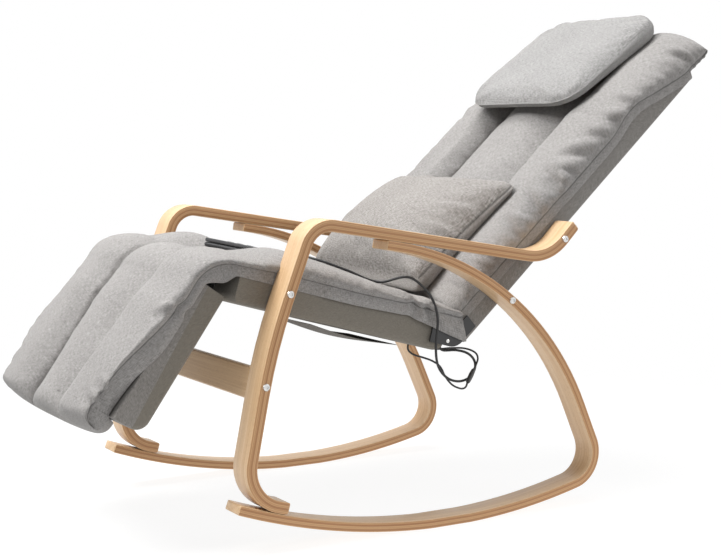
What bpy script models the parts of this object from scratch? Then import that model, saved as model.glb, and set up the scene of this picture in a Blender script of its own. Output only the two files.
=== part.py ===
import math

import bmesh
import bpy
from mathutils import Vector

# All sizes are in metres. The chair faces -X, its left side is -Y, and it rests on z = 0
# with the lowest line of both runners at x = 0.

# Clearances between touching pieces
GAP = 0.0003
RUNNING_CLEARANCE = 0.0004

# Bent plywood side frames
FRAME_WIDTH = 0.655
STRIP_WIDTH = 0.055
ARM_THICKNESS = 0.022
ROCKER_THICKNESS = 0.018
STRIP_EDGE_ROUND = 0.0015
BEND_STEP = math.radians(7.0)

RUNNER_RADIUS = 1.32
RUNNER_FRONT_ANGLE = math.radians(20.2)
RUNNER_REAR_ANGLE = math.radians(13.6)
RUNNER_FLAT = 0.09
RUNNER_STEP = math.radians(2.4)
RUNNER_TIP_TAPER = 0.006
REAR_BEND_RADIUS = 0.07
REAR_LEG_HEADING = math.radians(114.0)
REAR_LEG_STRAIGHT = 0.083
ARM_SUPPORT_LAND = 0.024

LEG_KNEE = Vector((-0.3856, 0.3715))
LEG_LOWER_HEADING = math.radians(78.7)
LEG_UPPER_HEADING = math.radians(68.8)
LEG_KNEE_RADIUS = 1.0
FOOT_ANGLE = math.radians(16.0)
FOOT_LENGTH = 0.092
FOOT_BEND_RADIUS = 0.074
ARM_HEIGHT = 0.544
ARM_SLOPE = math.radians(9.4)
ARM_FRONT_RADIUS = 0.052
ARM_TURN_X = 0.2305
ARM_END_HEADING = math.radians(45.0)
ARM_END_LENGTH = 0.0935
ARM_REAR_RADIUS = 0.10

# Board between the front legs
STRETCHER_HEIGHT = 0.058
STRETCHER_THICKNESS = 0.020

# Frame bolts
SEAT_BOLT_HEIGHT = 0.4675
STRETCHER_BOLT_HEIGHT = 0.3045
REAR_BOLT_HEIGHT = 0.4286
ARM_BOLT_SETBACK = 0.040
BOLT_DIAMETER = 0.008
BOLT_LENGTH = 0.072
BOLT_HEAD_DIAMETER = 0.0145
BOLT_HEAD_HEIGHT = 0.0036
BOLT_SOCKET_ACROSS = 0.0055
BOLT_SOCKET_DEPTH = 0.0022

# Covers, boards and rails shared by the three panels
COVER_WALL = 0.0025
BOARD_THICKNESS = 0.009
RAIL_THICKNESS = 0.018

# Seat panel, measured from the seat bolts along and across the seat
SEAT_SLOPE = math.radians(15.5)
SEAT_AHEAD = 0.077
SEAT_OUTLET_CLEARANCE = 0.0244
SEAT_BELOW = 0.037
SEAT_ABOVE = 0.022
SEAT_CHAMFER = 0.016
SEAT_MOTOR_DIAMETER = 0.052
SEAT_MOTOR_HEIGHT = 0.026
SEAT_MOTOR_AT = 0.130

# Fabric pocket under the seat
POCKET_LENGTH = 0.200
POCKET_WIDTH = 0.190
POCKET_DEPTH = 0.018
POCKET_AT = 0.195
POCKET_INSET = 0.004

# Back panel, measured from the arm-end bolts along and across the back
BACK_BELOW = 0.285
BACK_ABOVE = 0.500
BACK_REAR = 0.017
BACK_FRONT = 0.036
BACK_CHAMFER = 0.008

# Plates that lock the back to the seat at the hip
BRACKET_THICKNESS = 0.003
BRACKET_BREADTH = 0.030
BRACKET_SEAT_ARM = 0.034
BRACKET_BACK_ARM = 0.040

# Legrest panel, measured from its hinge axis
LEGREST_DROP = math.radians(55.0)
LEGREST_LENGTH = 0.285
LEGREST_DEPTH = 0.064
LEGREST_SIDE_GAP = 0.0222
LEGREST_CHAMFER = 0.010

# Hinges of the legrest
HINGE_SETBACK = 0.0068
HINGE_RISE = 0.004
HINGE_SIDE_GAP = 0.100
HINGE_WIDTH = 0.060
HINGE_LEAF_HEIGHT = 0.036
HINGE_LEAF_THICKNESS = 0.002
HINGE_KNUCKLE_RADIUS = 0.005
HINGE_KNUCKLE_LENGTH = 0.028
HINGE_PIN_RADIUS = 0.0026

# Quilted pads
PAD_CHANNEL = 0.36
BACK_PAD_CHANNEL = 0.47
PAD_DRAW_IN = 0.030
PAD_EDGE_SHARE = 0.52
PAD_KNEE_THICKNESS = 0.034
SEAT_PAD_THICKNESS = 0.060
SEAT_PAD_MIDDLE_DROP = 0.022
SEAT_PAD_REAR_THICKNESS = 0.044
SEAT_PAD_RAMP = 0.120
SEAT_PAD_INSET = 0.0012
SEAT_PAD_STOP_SHORT = 0.025
SEAT_PAD_TUCK = 0.0225
LEGREST_PAD_THICKNESS = 0.048
LEGREST_PAD_RAMP = 0.090
LEGREST_PAD_FOOT_INSET = 0.022
LEGREST_PAD_OVERHANG = 0.042
LEGREST_PAD_CORNER_SETBACK = 0.026
LEGREST_PAD_DROOP = 0.042
BACK_PAD_THICKNESS = 0.056
BACK_PAD_TOP_THICKNESS = 0.038
BACK_PAD_TAPER_FROM = 0.260
BACK_PAD_INSET = 0.0012
BACK_PAD_STOP_SHORT = 0.037
BACK_PAD_TUCK = 0.034
BACK_PAD_OVERHANG = 0.100
BACK_PAD_DROOP = 0.036

# Pillows, placed along the back from the arm-end bolts
HEADREST_WIDTH = 0.378
HEADREST_LENGTH = 0.322
HEADREST_EDGE = 0.036
HEADREST_WEDGE = 0.010
HEADREST_CROWN = 0.010
HEADREST_AT = 0.421
HEADREST_TILT = math.radians(9.0)
LUMBAR_WIDTH = 0.430
LUMBAR_LENGTH = 0.300
LUMBAR_EDGE = 0.037
LUMBAR_WEDGE = 0.018
LUMBAR_CROWN = 0.054
LUMBAR_AT = -0.106

# Massage mechanism inside the back
GUIDE_DIAMETER = 0.010
GUIDE_SPACING = 0.200
GUIDE_LEVEL = -0.001
SCREW_DIAMETER = 0.009
DRIVE_MOTOR_DIAMETER = 0.030
DRIVE_MOTOR_LENGTH = 0.064
CARRIAGE_AT = 0.120
CARRIAGE_LENGTH = 0.100
CARRIAGE_WIDTH = 0.250
CARRIAGE_DEPTH = 0.021
KNEADING_SPACING = 0.104
KNEADING_DISC_RADIUS = 0.040
KNEADING_DISC_THICKNESS = 0.006
KNEADING_KNOB_RADIUS = 0.0125
KNEADING_KNOB_OFFSET = 0.026
KNEADING_KNOB_HEIGHT = 0.015
KNEADING_SHAFT_RADIUS = 0.004
KNEADING_SHAFT_DEPTH = 0.006
KNEADING_MOTOR_DIAMETER = 0.022
KNEADING_MOTOR_LENGTH = 0.048
KNEADING_MOTOR_OFFSET = 0.050
CONTROL_BOX_LENGTH = 0.100
CONTROL_BOX_DEPTH = 0.024
CONTROL_BOX_SIDE_GAP = 0.037
CONTROL_BOX_CARRIAGE_GAP = 0.0225
SOCKET_DIAMETER = 0.012
SOCKET_LENGTH = 0.010
SOCKET_SIDE_GAP = 0.0362
SOCKET_SPACING = 0.022
SEAT_OUTLET_SETBACK = 0.058
SEAT_OUTLET_SIDE_GAP = 0.0322

# Hand controller on the seat pad
CONTROLLER_LENGTH = 0.150
CONTROLLER_WIDTH = 0.046
CONTROLLER_LOWER = 0.010
CONTROLLER_UPPER = 0.008
CONTROLLER_ROUND = 0.004
CONTROLLER_AT = 0.034
CONTROLLER_OFFSET = -0.015
CONTROLLER_TURN = math.radians(-68.0)
BUTTON_DIAMETER = 0.014
BUTTON_PITCH = 0.026
BUTTON_STAND = 0.0016
BUTTON_TRAVEL = 0.0012
BUTTON_DEPTH = 0.0048

# Cords
CONTROLLER_CORD_DIAMETER = 0.005
CORD_LIFT = 0.0016
LINK_LEAD_DIAMETER = 0.0038
CONNECTOR_DIAMETER = 0.010
CONNECTOR_LENGTH = 0.033

WOOD_FACE = (0.72, 0.53, 0.34)
FABRIC_PALE = (0.45, 0.43, 0.41)
FABRIC_DARK = (0.21, 0.19, 0.16)
STEEL = (0.62, 0.62, 0.60)
BLACK = (0.02, 0.02, 0.022)
TIMBER = (0.60, 0.45, 0.28)


def clear_scene():
    for obj in list(bpy.data.objects):
        bpy.data.objects.remove(obj, do_unlink=True)


def make_collection(name):
    collection = bpy.data.collections.new(name)
    bpy.context.scene.collection.children.link(collection)
    return collection


clear_scene()
CHAIR = make_collection("massage_rocking_chair")
CUTTERS = make_collection("cutters")


def place(obj, parent=None, location=(0, 0, 0), rotation=(0, 0, 0)):
    obj.location = location
    obj.rotation_euler = rotation
    obj.parent = parent
    return obj


def datum(name, parent=None, location=(0, 0, 0), rotation=(0, 0, 0)):
    empty = bpy.data.objects.new(name, None)
    empty.empty_display_size = 0.05
    CHAIR.objects.link(empty)
    return place(empty, parent, location, rotation)


def finish(obj, colour, roughness=0.6, metallic=0.0):
    material = bpy.data.materials.new(obj.name)
    material.use_nodes = True
    shader = material.node_tree.nodes["Principled BSDF"]
    shader.inputs["Base Color"].default_value = (*colour, 1.0)
    shader.inputs["Roughness"].default_value = roughness
    shader.inputs["Metallic"].default_value = metallic
    obj.data.materials.clear()
    obj.data.materials.append(material)
    return obj


def part(obj):
    CHAIR.objects.link(obj)
    return obj


def cutter(obj):
    CUTTERS.objects.link(obj)
    obj.hide_render = True
    obj.display_type = "WIRE"
    return obj


def mesh_object(name, shape):
    mesh = bpy.data.meshes.new(name)
    shape.normal_update()
    shape.to_mesh(mesh)
    shape.free()
    return bpy.data.objects.new(name, mesh)


def block(name, low, high):
    """A box between two corners."""
    shape = bmesh.new()
    bmesh.ops.create_cube(shape, size=1.0)
    for vertex in shape.verts:
        for axis in range(3):
            share = vertex.co[axis] + 0.5
            vertex.co[axis] = low[axis] + share * (high[axis] - low[axis])
    return mesh_object(name, shape)


def bar(name, radius, start, length, axis, sides=20):
    """A round bar from a start point along an axis named X, Y or Z."""
    shape = bmesh.new()
    bmesh.ops.create_cone(shape, cap_ends=True, segments=sides, radius1=radius, radius2=radius, depth=length)
    for vertex in shape.verts:
        across, aside, along = vertex.co
        along += length / 2
        if axis == "X":
            vertex.co = (along, across, aside)
        elif axis == "Y":
            vertex.co = (aside, along, across)
        else:
            vertex.co = (across, aside, along)
        vertex.co += Vector(start)
    obj = mesh_object(name, shape)
    smooth(obj)
    return obj


def smooth(obj, angle=40.0):
    obj.data.shade_smooth()
    obj.data.set_sharp_from_angle(angle=math.radians(angle))


def round_edges(obj, width, segments=2, limit=35.0):
    bevel = obj.modifiers.new("rounded edges", "BEVEL")
    bevel.width = width
    bevel.segments = segments
    bevel.limit_method = "ANGLE"
    bevel.angle_limit = math.radians(limit)
    return obj


def boolean(obj, other, operation):
    modifier = obj.modifiers.new(operation.lower(), "BOOLEAN")
    modifier.operation = operation
    modifier.object = other
    return obj


def cut(obj, other):
    return boolean(obj, other, "DIFFERENCE")


def join(obj, other):
    return boolean(obj, other, "UNION")


def turned(name, profile, steps=24):
    """A turned piece from (radius, height) points that run down its outer side."""
    shape = bmesh.new()
    line = [shape.verts.new((radius, 0.0, height)) for radius, height in profile]
    for first, second in zip(line, line[1:]):
        shape.edges.new((first, second))
    obj = mesh_object(name, shape)
    screw = obj.modifiers.new("turning", "SCREW")
    screw.axis = "Z"
    screw.steps = steps
    screw.render_steps = steps
    screw.use_merge_vertices = True
    screw.merge_threshold = 0.00001
    return obj


def tube(name, points, diameter, closed=False, sides=2):
    data = bpy.data.curves.new(name, "CURVE")
    data.dimensions = "3D"
    data.bevel_depth = diameter / 2
    data.bevel_resolution = sides
    data.use_fill_caps = True
    spline = data.splines.new("POLY")
    spline.points.add(len(points) - 1)
    for point, place_at in zip(spline.points, points):
        point.co = (*place_at, 1.0)
    spline.use_cyclic_u = closed
    return bpy.data.objects.new(name, data)


def as_mesh(curve):
    """The curve's solid as a mesh whose caps are welded to its sides."""
    bpy.context.scene.collection.objects.link(curve)
    bpy.context.view_layer.update()
    graph = bpy.context.evaluated_depsgraph_get()
    mesh = bpy.data.meshes.new_from_object(curve.evaluated_get(graph))
    shape = bmesh.new()
    shape.from_mesh(mesh)
    bmesh.ops.remove_doubles(shape, verts=shape.verts, dist=0.000001)
    shape.to_mesh(mesh)
    shape.free()
    name = curve.name
    spot = curve.matrix_world.copy()
    bpy.data.objects.remove(curve, do_unlink=True)
    obj = bpy.data.objects.new(name, mesh)
    obj.matrix_world = spot
    return obj


def plate(name, outline, thickness):
    """A flat outline in the X-Z plane, given thickness evenly about y = 0."""
    data = bpy.data.curves.new(name, "CURVE")
    data.dimensions = "2D"
    data.fill_mode = "BOTH"
    data.extrude = thickness / 2
    spline = data.splines.new("POLY")
    spline.points.add(len(outline) - 1)
    for point, (along, up) in zip(spline.points, outline):
        point.co = (along, up, 0.0, 1.0)
    spline.use_cyclic_u = True
    obj = as_mesh(bpy.data.objects.new(name, data))
    for vertex in obj.data.vertices:
        along, up, aside = vertex.co
        vertex.co = (along, -aside, up)
    return obj


def direction(heading):
    return Vector((math.cos(heading), math.sin(heading)))


def left_of(heading):
    return Vector((-math.sin(heading), math.cos(heading)))


def meeting_point(first, first_heading, second, second_heading):
    """Where two lines in the X-Z plane cross."""
    normal = left_of(second_heading)
    reach = (second - first).dot(normal) / direction(first_heading).dot(normal)
    return first + reach * direction(first_heading)


def arc(start, heading, radius, turn, step):
    """Points and headings along an arc that turns left for a positive angle."""
    side = 1.0 if turn > 0 else -1.0
    centre = start + side * radius * left_of(heading)
    count = max(2, math.ceil(abs(turn) / step))
    walk = []
    for index in range(1, count + 1):
        now = heading + turn * index / count
        walk.append((centre - side * radius * left_of(now), now))
    return walk


def rounded_path(corners, radii, step):
    """A polyline with rounded corners, as points with their headings."""
    headings = []
    for first, second in zip(corners, corners[1:]):
        run = second - first
        headings.append(math.atan2(run.y, run.x))
    walk = [(corners[0], headings[0])]
    for index, radius in enumerate(radii):
        turn = (headings[index + 1] - headings[index] + math.pi) % (2 * math.pi) - math.pi
        tangent = radius * math.tan(abs(turn) / 2)
        start = corners[index + 1] - tangent * direction(headings[index])
        walk.append((start, headings[index]))
        walk.extend(arc(start, headings[index], radius, turn, step))
    walk.append((corners[-1], headings[-1]))
    return walk


def strip_outline(walk, right, left):
    """The outline of a strip that reaches to the right and to the left of a path."""
    right_side = [point - right * left_of(heading) for point, heading in walk]
    left_side = [point + left * left_of(heading) for point, heading in walk]
    return right_side + left_side[::-1]


def at_height(walk, height, shift):
    """The point of a shifted path at a height, searched from its far end."""
    line = [point + shift * left_of(heading) for point, heading in walk]
    for first, second in zip(line[::-1], line[-2::-1]):
        if min(first.y, second.y) <= height <= max(first.y, second.y):
            share = (height - first.y) / (second.y - first.y)
            return first.lerp(second, share)
    return line[-1]


def heading_at(walk, height):
    for (first, heading), (second, _) in zip(walk, walk[1:]):
        if first.y <= height <= second.y:
            return heading
    return walk[-1][1]


def in_space(point, aside=0.0):
    return Vector((point.x, aside, point.y))


def soft_block(name, cuts, rule):
    """A subdivided box whose points are moved by a rule of length, width and height shares."""
    shape = bmesh.new()
    bmesh.ops.create_cube(shape, size=1.0)
    for axis in range(3):
        along = []
        for edge in shape.edges:
            run = edge.verts[1].co - edge.verts[0].co
            if abs(run[axis]) > 0.5 * run.length:
                along.append(edge)
        bmesh.ops.subdivide_edges(shape, edges=along, cuts=cuts[axis], use_grid_fill=True)
    for vertex in shape.verts:
        length, width, height = vertex.co
        vertex.co = rule(length + 0.5, 2 * width, height + 0.5)
    obj = mesh_object(name, shape)
    smooth(obj, 60.0)
    return obj


def channel_place(width, channel):
    """Spreads evenly spaced points so that some lie in the two sewn channels."""
    side = math.copysign(1.0, width)
    share = abs(width)
    inner = 3.0 / 7.0
    if share <= inner:
        return side * channel * share / inner
    return side * (channel + (1 - channel) * (share - inner) / (1 - inner))


def channel_swell(width, channel):
    """The three long swells between the channels and the edges, from 0 to 1."""
    share = abs(width)
    if share < channel:
        local = share / channel
    else:
        local = (2 * share - 1 - channel) / (1 - channel)
    return math.sqrt(max(0.0, 1 - local * local))


def drawn_in(height):
    return 1 - PAD_DRAW_IN * (2 * height - 1) ** 2


# Side frames

inner_half = FRAME_WIDTH / 2 - STRIP_WIDTH
strip_middle = FRAME_WIDTH / 2 - STRIP_WIDTH / 2

arm_point = Vector((0.0, ARM_HEIGHT))
arm_front = meeting_point(LEG_KNEE, LEG_UPPER_HEADING, arm_point, -ARM_SLOPE)
arm_turn = meeting_point(Vector((ARM_TURN_X, 0.0)), math.pi / 2, arm_point, -ARM_SLOPE)
arm_end = arm_turn + ARM_END_LENGTH * direction(ARM_END_HEADING)
foot_radius = RUNNER_RADIUS - ROCKER_THICKNESS - GAP - ARM_THICKNESS / 2
foot_rest = Vector((-foot_radius * math.sin(FOOT_ANGLE), RUNNER_RADIUS - foot_radius * math.cos(FOOT_ANGLE)))
foot_heading = math.pi - FOOT_ANGLE
foot_corner = meeting_point(LEG_KNEE, LEG_LOWER_HEADING, foot_rest, foot_heading)
foot_end = foot_corner - FOOT_LENGTH * direction(foot_heading)
arm_walk = rounded_path(
    [foot_end, foot_corner, LEG_KNEE, arm_front, arm_turn, arm_end],
    [FOOT_BEND_RADIUS, LEG_KNEE_RADIUS, ARM_FRONT_RADIUS, ARM_REAR_RADIUS],
    BEND_STEP,
)

runner_flat_half = math.asin(RUNNER_FLAT / 2 / RUNNER_RADIUS)
runner_angles = [-runner_flat_half, runner_flat_half]
front_count = max(2, round((RUNNER_FRONT_ANGLE - runner_flat_half) / RUNNER_STEP))
rear_count = max(2, round((RUNNER_REAR_ANGLE - runner_flat_half) / RUNNER_STEP))
for index in range(1, front_count + 1):
    runner_angles.insert(0, -runner_flat_half - (RUNNER_FRONT_ANGLE - runner_flat_half) * index / front_count)
for index in range(1, rear_count + 1):
    runner_angles.append(runner_flat_half + (RUNNER_REAR_ANGLE - runner_flat_half) * index / rear_count)
runner_rise = RUNNER_RADIUS * math.cos(runner_flat_half)
runner_walk = []
for angle in runner_angles:
    point = Vector((RUNNER_RADIUS * math.sin(angle), runner_rise - RUNNER_RADIUS * math.cos(angle)))
    runner_walk.append((point, angle))
rear_turn = REAR_LEG_HEADING - RUNNER_REAR_ANGLE
bend_walk = arc(runner_walk[-1][0], RUNNER_REAR_ANGLE, REAR_BEND_RADIUS, rear_turn, BEND_STEP)
leg_start = bend_walk[-1][0]
under_arm = arm_point - (ARM_THICKNESS / 2 + GAP) * left_of(-ARM_SLOPE)
leg_top = meeting_point(leg_start, REAR_LEG_HEADING, under_arm, math.pi - ARM_SLOPE)
upper_turn = math.pi - ARM_SLOPE - REAR_LEG_HEADING
upper_start = leg_start + REAR_LEG_STRAIGHT * direction(REAR_LEG_HEADING)
upper_radius = (leg_top - upper_start).length / math.tan(upper_turn / 2)
upper_walk = [(upper_start, REAR_LEG_HEADING)]
upper_walk += arc(upper_start, REAR_LEG_HEADING, upper_radius, upper_turn, BEND_STEP * 0.7)
land_end = upper_walk[-1][0] + ARM_SUPPORT_LAND * direction(math.pi - ARM_SLOPE)
rocker_walk = runner_walk + bend_walk + upper_walk + [(land_end, math.pi - ARM_SLOPE)]

seat_bolt = at_height(arm_walk[: len(arm_walk) // 2 + 2], SEAT_BOLT_HEIGHT, 0.0)
stretcher_bolt = at_height(arm_walk[: len(arm_walk) // 2 + 2], STRETCHER_BOLT_HEIGHT, 0.0)
rear_bolt = at_height(rocker_walk, REAR_BOLT_HEIGHT, ROCKER_THICKNESS / 2)
arm_bolt = arm_end - ARM_BOLT_SETBACK * direction(ARM_END_HEADING)
stations = {"seat": seat_bolt, "stretcher": stretcher_bolt, "rear_leg": rear_bolt, "arm_end": arm_bolt}

bolt_bores = {}
for station, point in stations.items():
    bore = bar(
        station + "_bolt_bore",
        BOLT_DIAMETER / 2 + RUNNING_CLEARANCE,
        in_space(point, -FRAME_WIDTH),
        2 * FRAME_WIDTH,
        "Y",
        16,
    )
    bolt_bores[station] = cutter(bore)

arm_outline = strip_outline(arm_walk, ARM_THICKNESS / 2, ARM_THICKNESS / 2)
rocker_outline = strip_outline(rocker_walk, 0.0, ROCKER_THICKNESS)
rocker_outline[0] += RUNNER_TIP_TAPER * left_of(rocker_walk[0][1])
for side_name, side in (("left", -1), ("right", 1)):
    arm = part(plate(side_name + "_arm_leg", arm_outline, STRIP_WIDTH))
    place(arm, None, (0, side * strip_middle, 0))
    round_edges(arm, STRIP_EDGE_ROUND, 1, 50.0)
    cut(arm, bolt_bores["seat"])
    cut(arm, bolt_bores["stretcher"])
    cut(arm, bolt_bores["arm_end"])
    smooth(arm, 25.0)
    finish(arm, WOOD_FACE, 0.45)
    rocker = part(plate(side_name + "_rocker", rocker_outline, STRIP_WIDTH))
    place(rocker, None, (0, side * strip_middle, 0))
    round_edges(rocker, STRIP_EDGE_ROUND, 1, 50.0)
    cut(rocker, bolt_bores["rear_leg"])
    smooth(rocker, 25.0)
    finish(rocker, WOOD_FACE, 0.45)

stretcher_half = inner_half - GAP
stretcher_tilt = math.pi / 2 - heading_at(arm_walk, STRETCHER_BOLT_HEIGHT)
stretcher = block(
    "front_stretcher",
    (-STRETCHER_THICKNESS / 2, -stretcher_half, -STRETCHER_HEIGHT / 2),
    (STRETCHER_THICKNESS / 2, stretcher_half, STRETCHER_HEIGHT / 2),
)
part(stretcher)
place(stretcher, None, in_space(stretcher_bolt), (0, stretcher_tilt, 0))
round_edges(stretcher, 0.003, 2)
stretcher_bolt_reach = BOLT_LENGTH - STRIP_WIDTH
for side in (-1, 1):
    bore = bar(
        "stretcher_end_bore",
        BOLT_DIAMETER / 2 + RUNNING_CLEARANCE,
        (0, side * stretcher_half - stretcher_bolt_reach - 0.004, 0),
        2 * stretcher_bolt_reach + 0.008,
        "Y",
        16,
    )
    place(cutter(bore), None, in_space(stretcher_bolt), (0, stretcher_tilt, 0))
    cut(stretcher, bore)
finish(stretcher, WOOD_FACE, 0.5)

# Frame bolts: button heads with a hexagon socket, outside each strip
bolt_profile = [
    (0.0, BOLT_HEAD_HEIGHT),
    (BOLT_HEAD_DIAMETER * 0.30, BOLT_HEAD_HEIGHT),
    (BOLT_HEAD_DIAMETER * 0.44, BOLT_HEAD_HEIGHT * 0.62),
    (BOLT_HEAD_DIAMETER / 2, 0.0),
    (BOLT_DIAMETER / 2, 0.0),
    (BOLT_DIAMETER / 2, -BOLT_LENGTH),
    (0.0, -BOLT_LENGTH),
]
for side_name, side in (("left", -1), ("right", 1)):
    for station, point in stations.items():
        bolt = part(turned(side_name + "_" + station + "_bolt", bolt_profile, 16))
        spot = in_space(point, side * (FRAME_WIDTH / 2 + GAP))
        turn = (-side * math.pi / 2, 0, 0)
        place(bolt, None, spot, turn)
        socket = bar(
            side_name + "_" + station + "_socket",
            BOLT_SOCKET_ACROSS / math.sqrt(3),
            (0, 0, BOLT_HEAD_HEIGHT - BOLT_SOCKET_DEPTH),
            2 * BOLT_SOCKET_DEPTH,
            "Z",
            6,
        )
        place(cutter(socket), None, spot, turn)
        cut(bolt, socket)
        finish(bolt, STEEL, 0.25, 1.0)

# Seat panel

panel_half = inner_half - GAP
panel_inside = panel_half - COVER_WALL - GAP
legrest_half = panel_half - LEGREST_SIDE_GAP


def tray(name, low, high, half, chamfer):
    """An open box of covered board: a floor, four walls and a cut lower edge."""
    shape = bmesh.new()
    bmesh.ops.create_cube(shape, size=1.0)
    top = [face for face in shape.faces if face.normal.z > 0.5]
    bmesh.ops.delete(shape, geom=top, context="FACES")
    for vertex in shape.verts:
        vertex.co.x = low[0] if vertex.co.x < 0 else high[0]
        vertex.co.y = -half if vertex.co.y < 0 else half
        vertex.co.z = low[1] if vertex.co.z < 0 else high[1]
    floor_edges = [edge for edge in shape.edges if all(v.co.z < high[1] - 0.001 for v in edge.verts)]
    bmesh.ops.bevel(
        shape, geom=floor_edges, offset=chamfer, segments=2, profile=0.5, affect="EDGES", material=-1
    )
    obj = mesh_object(name, shape)
    wall = obj.modifiers.new("wall", "SOLIDIFY")
    wall.thickness = COVER_WALL
    wall.offset = -1.0
    wall.use_even_offset = True
    return obj


# The seat stops short of the outlets on the back panel's lower edge
back_run = arm_bolt - rear_bolt
back_angle = math.atan2(back_run.y, back_run.x)
socket_level = (BACK_FRONT - BACK_REAR) / 2
outlet_tip = arm_bolt - (BACK_BELOW + SOCKET_LENGTH) * direction(back_angle)
outlet_tip += socket_level * left_of(back_angle)
seat_behind = (outlet_tip - seat_bolt).dot(direction(-SEAT_SLOPE)) - SEAT_OUTLET_CLEARANCE
seat = datum("seat_datum", None, in_space(seat_bolt), (0, SEAT_SLOPE, 0))
seat_low = (-SEAT_AHEAD, -SEAT_BELOW)
seat_high = (seat_behind, SEAT_ABOVE)
seat_cover = part(tray("seat_cover", seat_low, seat_high, panel_half, SEAT_CHAMFER))
place(seat_cover, seat)
cut(seat_cover, bolt_bores["seat"])
finish(seat_cover, FABRIC_DARK, 0.9)

seat_in_front = -SEAT_AHEAD + COVER_WALL + GAP
seat_in_rear = seat_behind - COVER_WALL - GAP
seat_rail_low = -SEAT_BELOW + SEAT_CHAMFER + GAP
seat_rail_high = SEAT_ABOVE - BOARD_THICKNESS - GAP
for side_name, side in (("left", -1), ("right", 1)):
    edges = sorted((side * panel_inside, side * (panel_inside - RAIL_THICKNESS)))
    rail = block(
        "seat_rail_" + side_name,
        (seat_in_front, edges[0], seat_rail_low),
        (seat_in_rear, edges[1], seat_rail_high),
    )
    place(part(rail), seat)
    cut(rail, bolt_bores["seat"])
    finish(rail, TIMBER, 0.7)
cross_half = panel_inside - RAIL_THICKNESS - GAP
for end_name, start in (("front", seat_in_front), ("rear", seat_in_rear - RAIL_THICKNESS)):
    rail = block(
        "seat_rail_" + end_name,
        (start, -cross_half, seat_rail_low),
        (start + RAIL_THICKNESS, cross_half, seat_rail_high),
    )
    place(part(rail), seat)
    finish(rail, TIMBER, 0.7)
seat_board = block(
    "seat_board",
    (seat_in_front, -panel_inside, SEAT_ABOVE - BOARD_THICKNESS),
    (seat_in_rear, panel_inside, SEAT_ABOVE),
)
place(part(seat_board), seat)
finish(seat_board, TIMBER, 0.7)
seat_motor = bar(
    "seat_vibration_motor",
    SEAT_MOTOR_DIAMETER / 2,
    (SEAT_MOTOR_AT, 0, seat_rail_high - SEAT_MOTOR_HEIGHT),
    SEAT_MOTOR_HEIGHT,
    "Z",
    24,
)
place(part(seat_motor), seat)
round_edges(seat_motor, 0.002, 2)
finish(seat_motor, BLACK, 0.5)

pocket_side = -panel_half + SEAT_CHAMFER + POCKET_INSET


def pocket_rule(length, width, height):
    sag = POCKET_DEPTH * (0.35 + 0.65 * math.sin(math.pi * length) * (1 - 0.5 * width * width))
    return (
        POCKET_AT + POCKET_LENGTH * (length - 0.5),
        pocket_side + POCKET_WIDTH * (width + 1) / 2,
        -SEAT_BELOW - GAP - (1 - height) * sag,
    )


pocket = place(part(soft_block("under_seat_pocket", (7, 5, 0), pocket_rule)), seat)
finish(pocket, BLACK, 0.9)

# Back panel

back = datum("back_datum", None, in_space(arm_bolt), (0, -back_angle, 0))
back_low = (-BACK_BELOW, -BACK_REAR)
back_high = (BACK_ABOVE, BACK_FRONT)
back_cover = part(tray("back_cover", back_low, back_high, panel_half, BACK_CHAMFER))
place(back_cover, back)
cut(back_cover, bolt_bores["rear_leg"])
cut(back_cover, bolt_bores["arm_end"])
finish(back_cover, FABRIC_DARK, 0.9)

back_in_low = -BACK_BELOW + COVER_WALL + GAP
back_in_high = BACK_ABOVE - COVER_WALL - GAP
back_floor = -BACK_REAR + COVER_WALL + GAP
back_rail_rear = -BACK_REAR + BACK_CHAMFER + GAP
for side_name, side in (("left", -1), ("right", 1)):
    edges = sorted((side * panel_inside, side * (panel_inside - RAIL_THICKNESS)))
    rail = block(
        "back_rail_" + side_name,
        (back_in_low, edges[0], back_rail_rear),
        (back_in_high, edges[1], BACK_FRONT),
    )
    place(part(rail), back)
    cut(rail, bolt_bores["rear_leg"])
    cut(rail, bolt_bores["arm_end"])
    finish(rail, TIMBER, 0.7)
for end_name, start in (("lower", back_in_low), ("upper", back_in_high - RAIL_THICKNESS)):
    rail = block(
        "back_rail_" + end_name,
        (start, -cross_half, back_rail_rear),
        (start + RAIL_THICKNESS, cross_half, BACK_FRONT),
    )
    place(part(rail), back)
    finish(rail, TIMBER, 0.7)

# Plates at the hip, lying against both covers
hip_seat = Vector((seat_behind, (SEAT_ABOVE - SEAT_BELOW) / 2))
hip_seat = seat_bolt + hip_seat.x * direction(-SEAT_SLOPE) + hip_seat.y * left_of(-SEAT_SLOPE)
hip_back = arm_bolt - BACK_BELOW * direction(back_angle)
hip_back += (BACK_FRONT - BACK_REAR) / 2 * left_of(back_angle)
hip = meeting_point(hip_seat, -SEAT_SLOPE, hip_back, back_angle)
bracket_walk = rounded_path(
    [
        hip_seat - BRACKET_SEAT_ARM * direction(-SEAT_SLOPE),
        hip,
        hip_back + BRACKET_BACK_ARM * direction(back_angle),
    ],
    [BRACKET_BREADTH * 0.6],
    BEND_STEP * 2,
)
bracket_outline = strip_outline(bracket_walk, BRACKET_BREADTH / 2, BRACKET_BREADTH / 2)
for side_name, side in (("left", -1), ("right", 1)):
    bracket = part(plate(side_name + "_hip_bracket", bracket_outline, BRACKET_THICKNESS))
    place(bracket, None, (0, side * (panel_half + GAP + BRACKET_THICKNESS / 2), 0))
    finish(bracket, BLACK, 0.45, 0.6)

# Massage mechanism: a motor turns the screw, which moves the carriage along two guides

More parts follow.
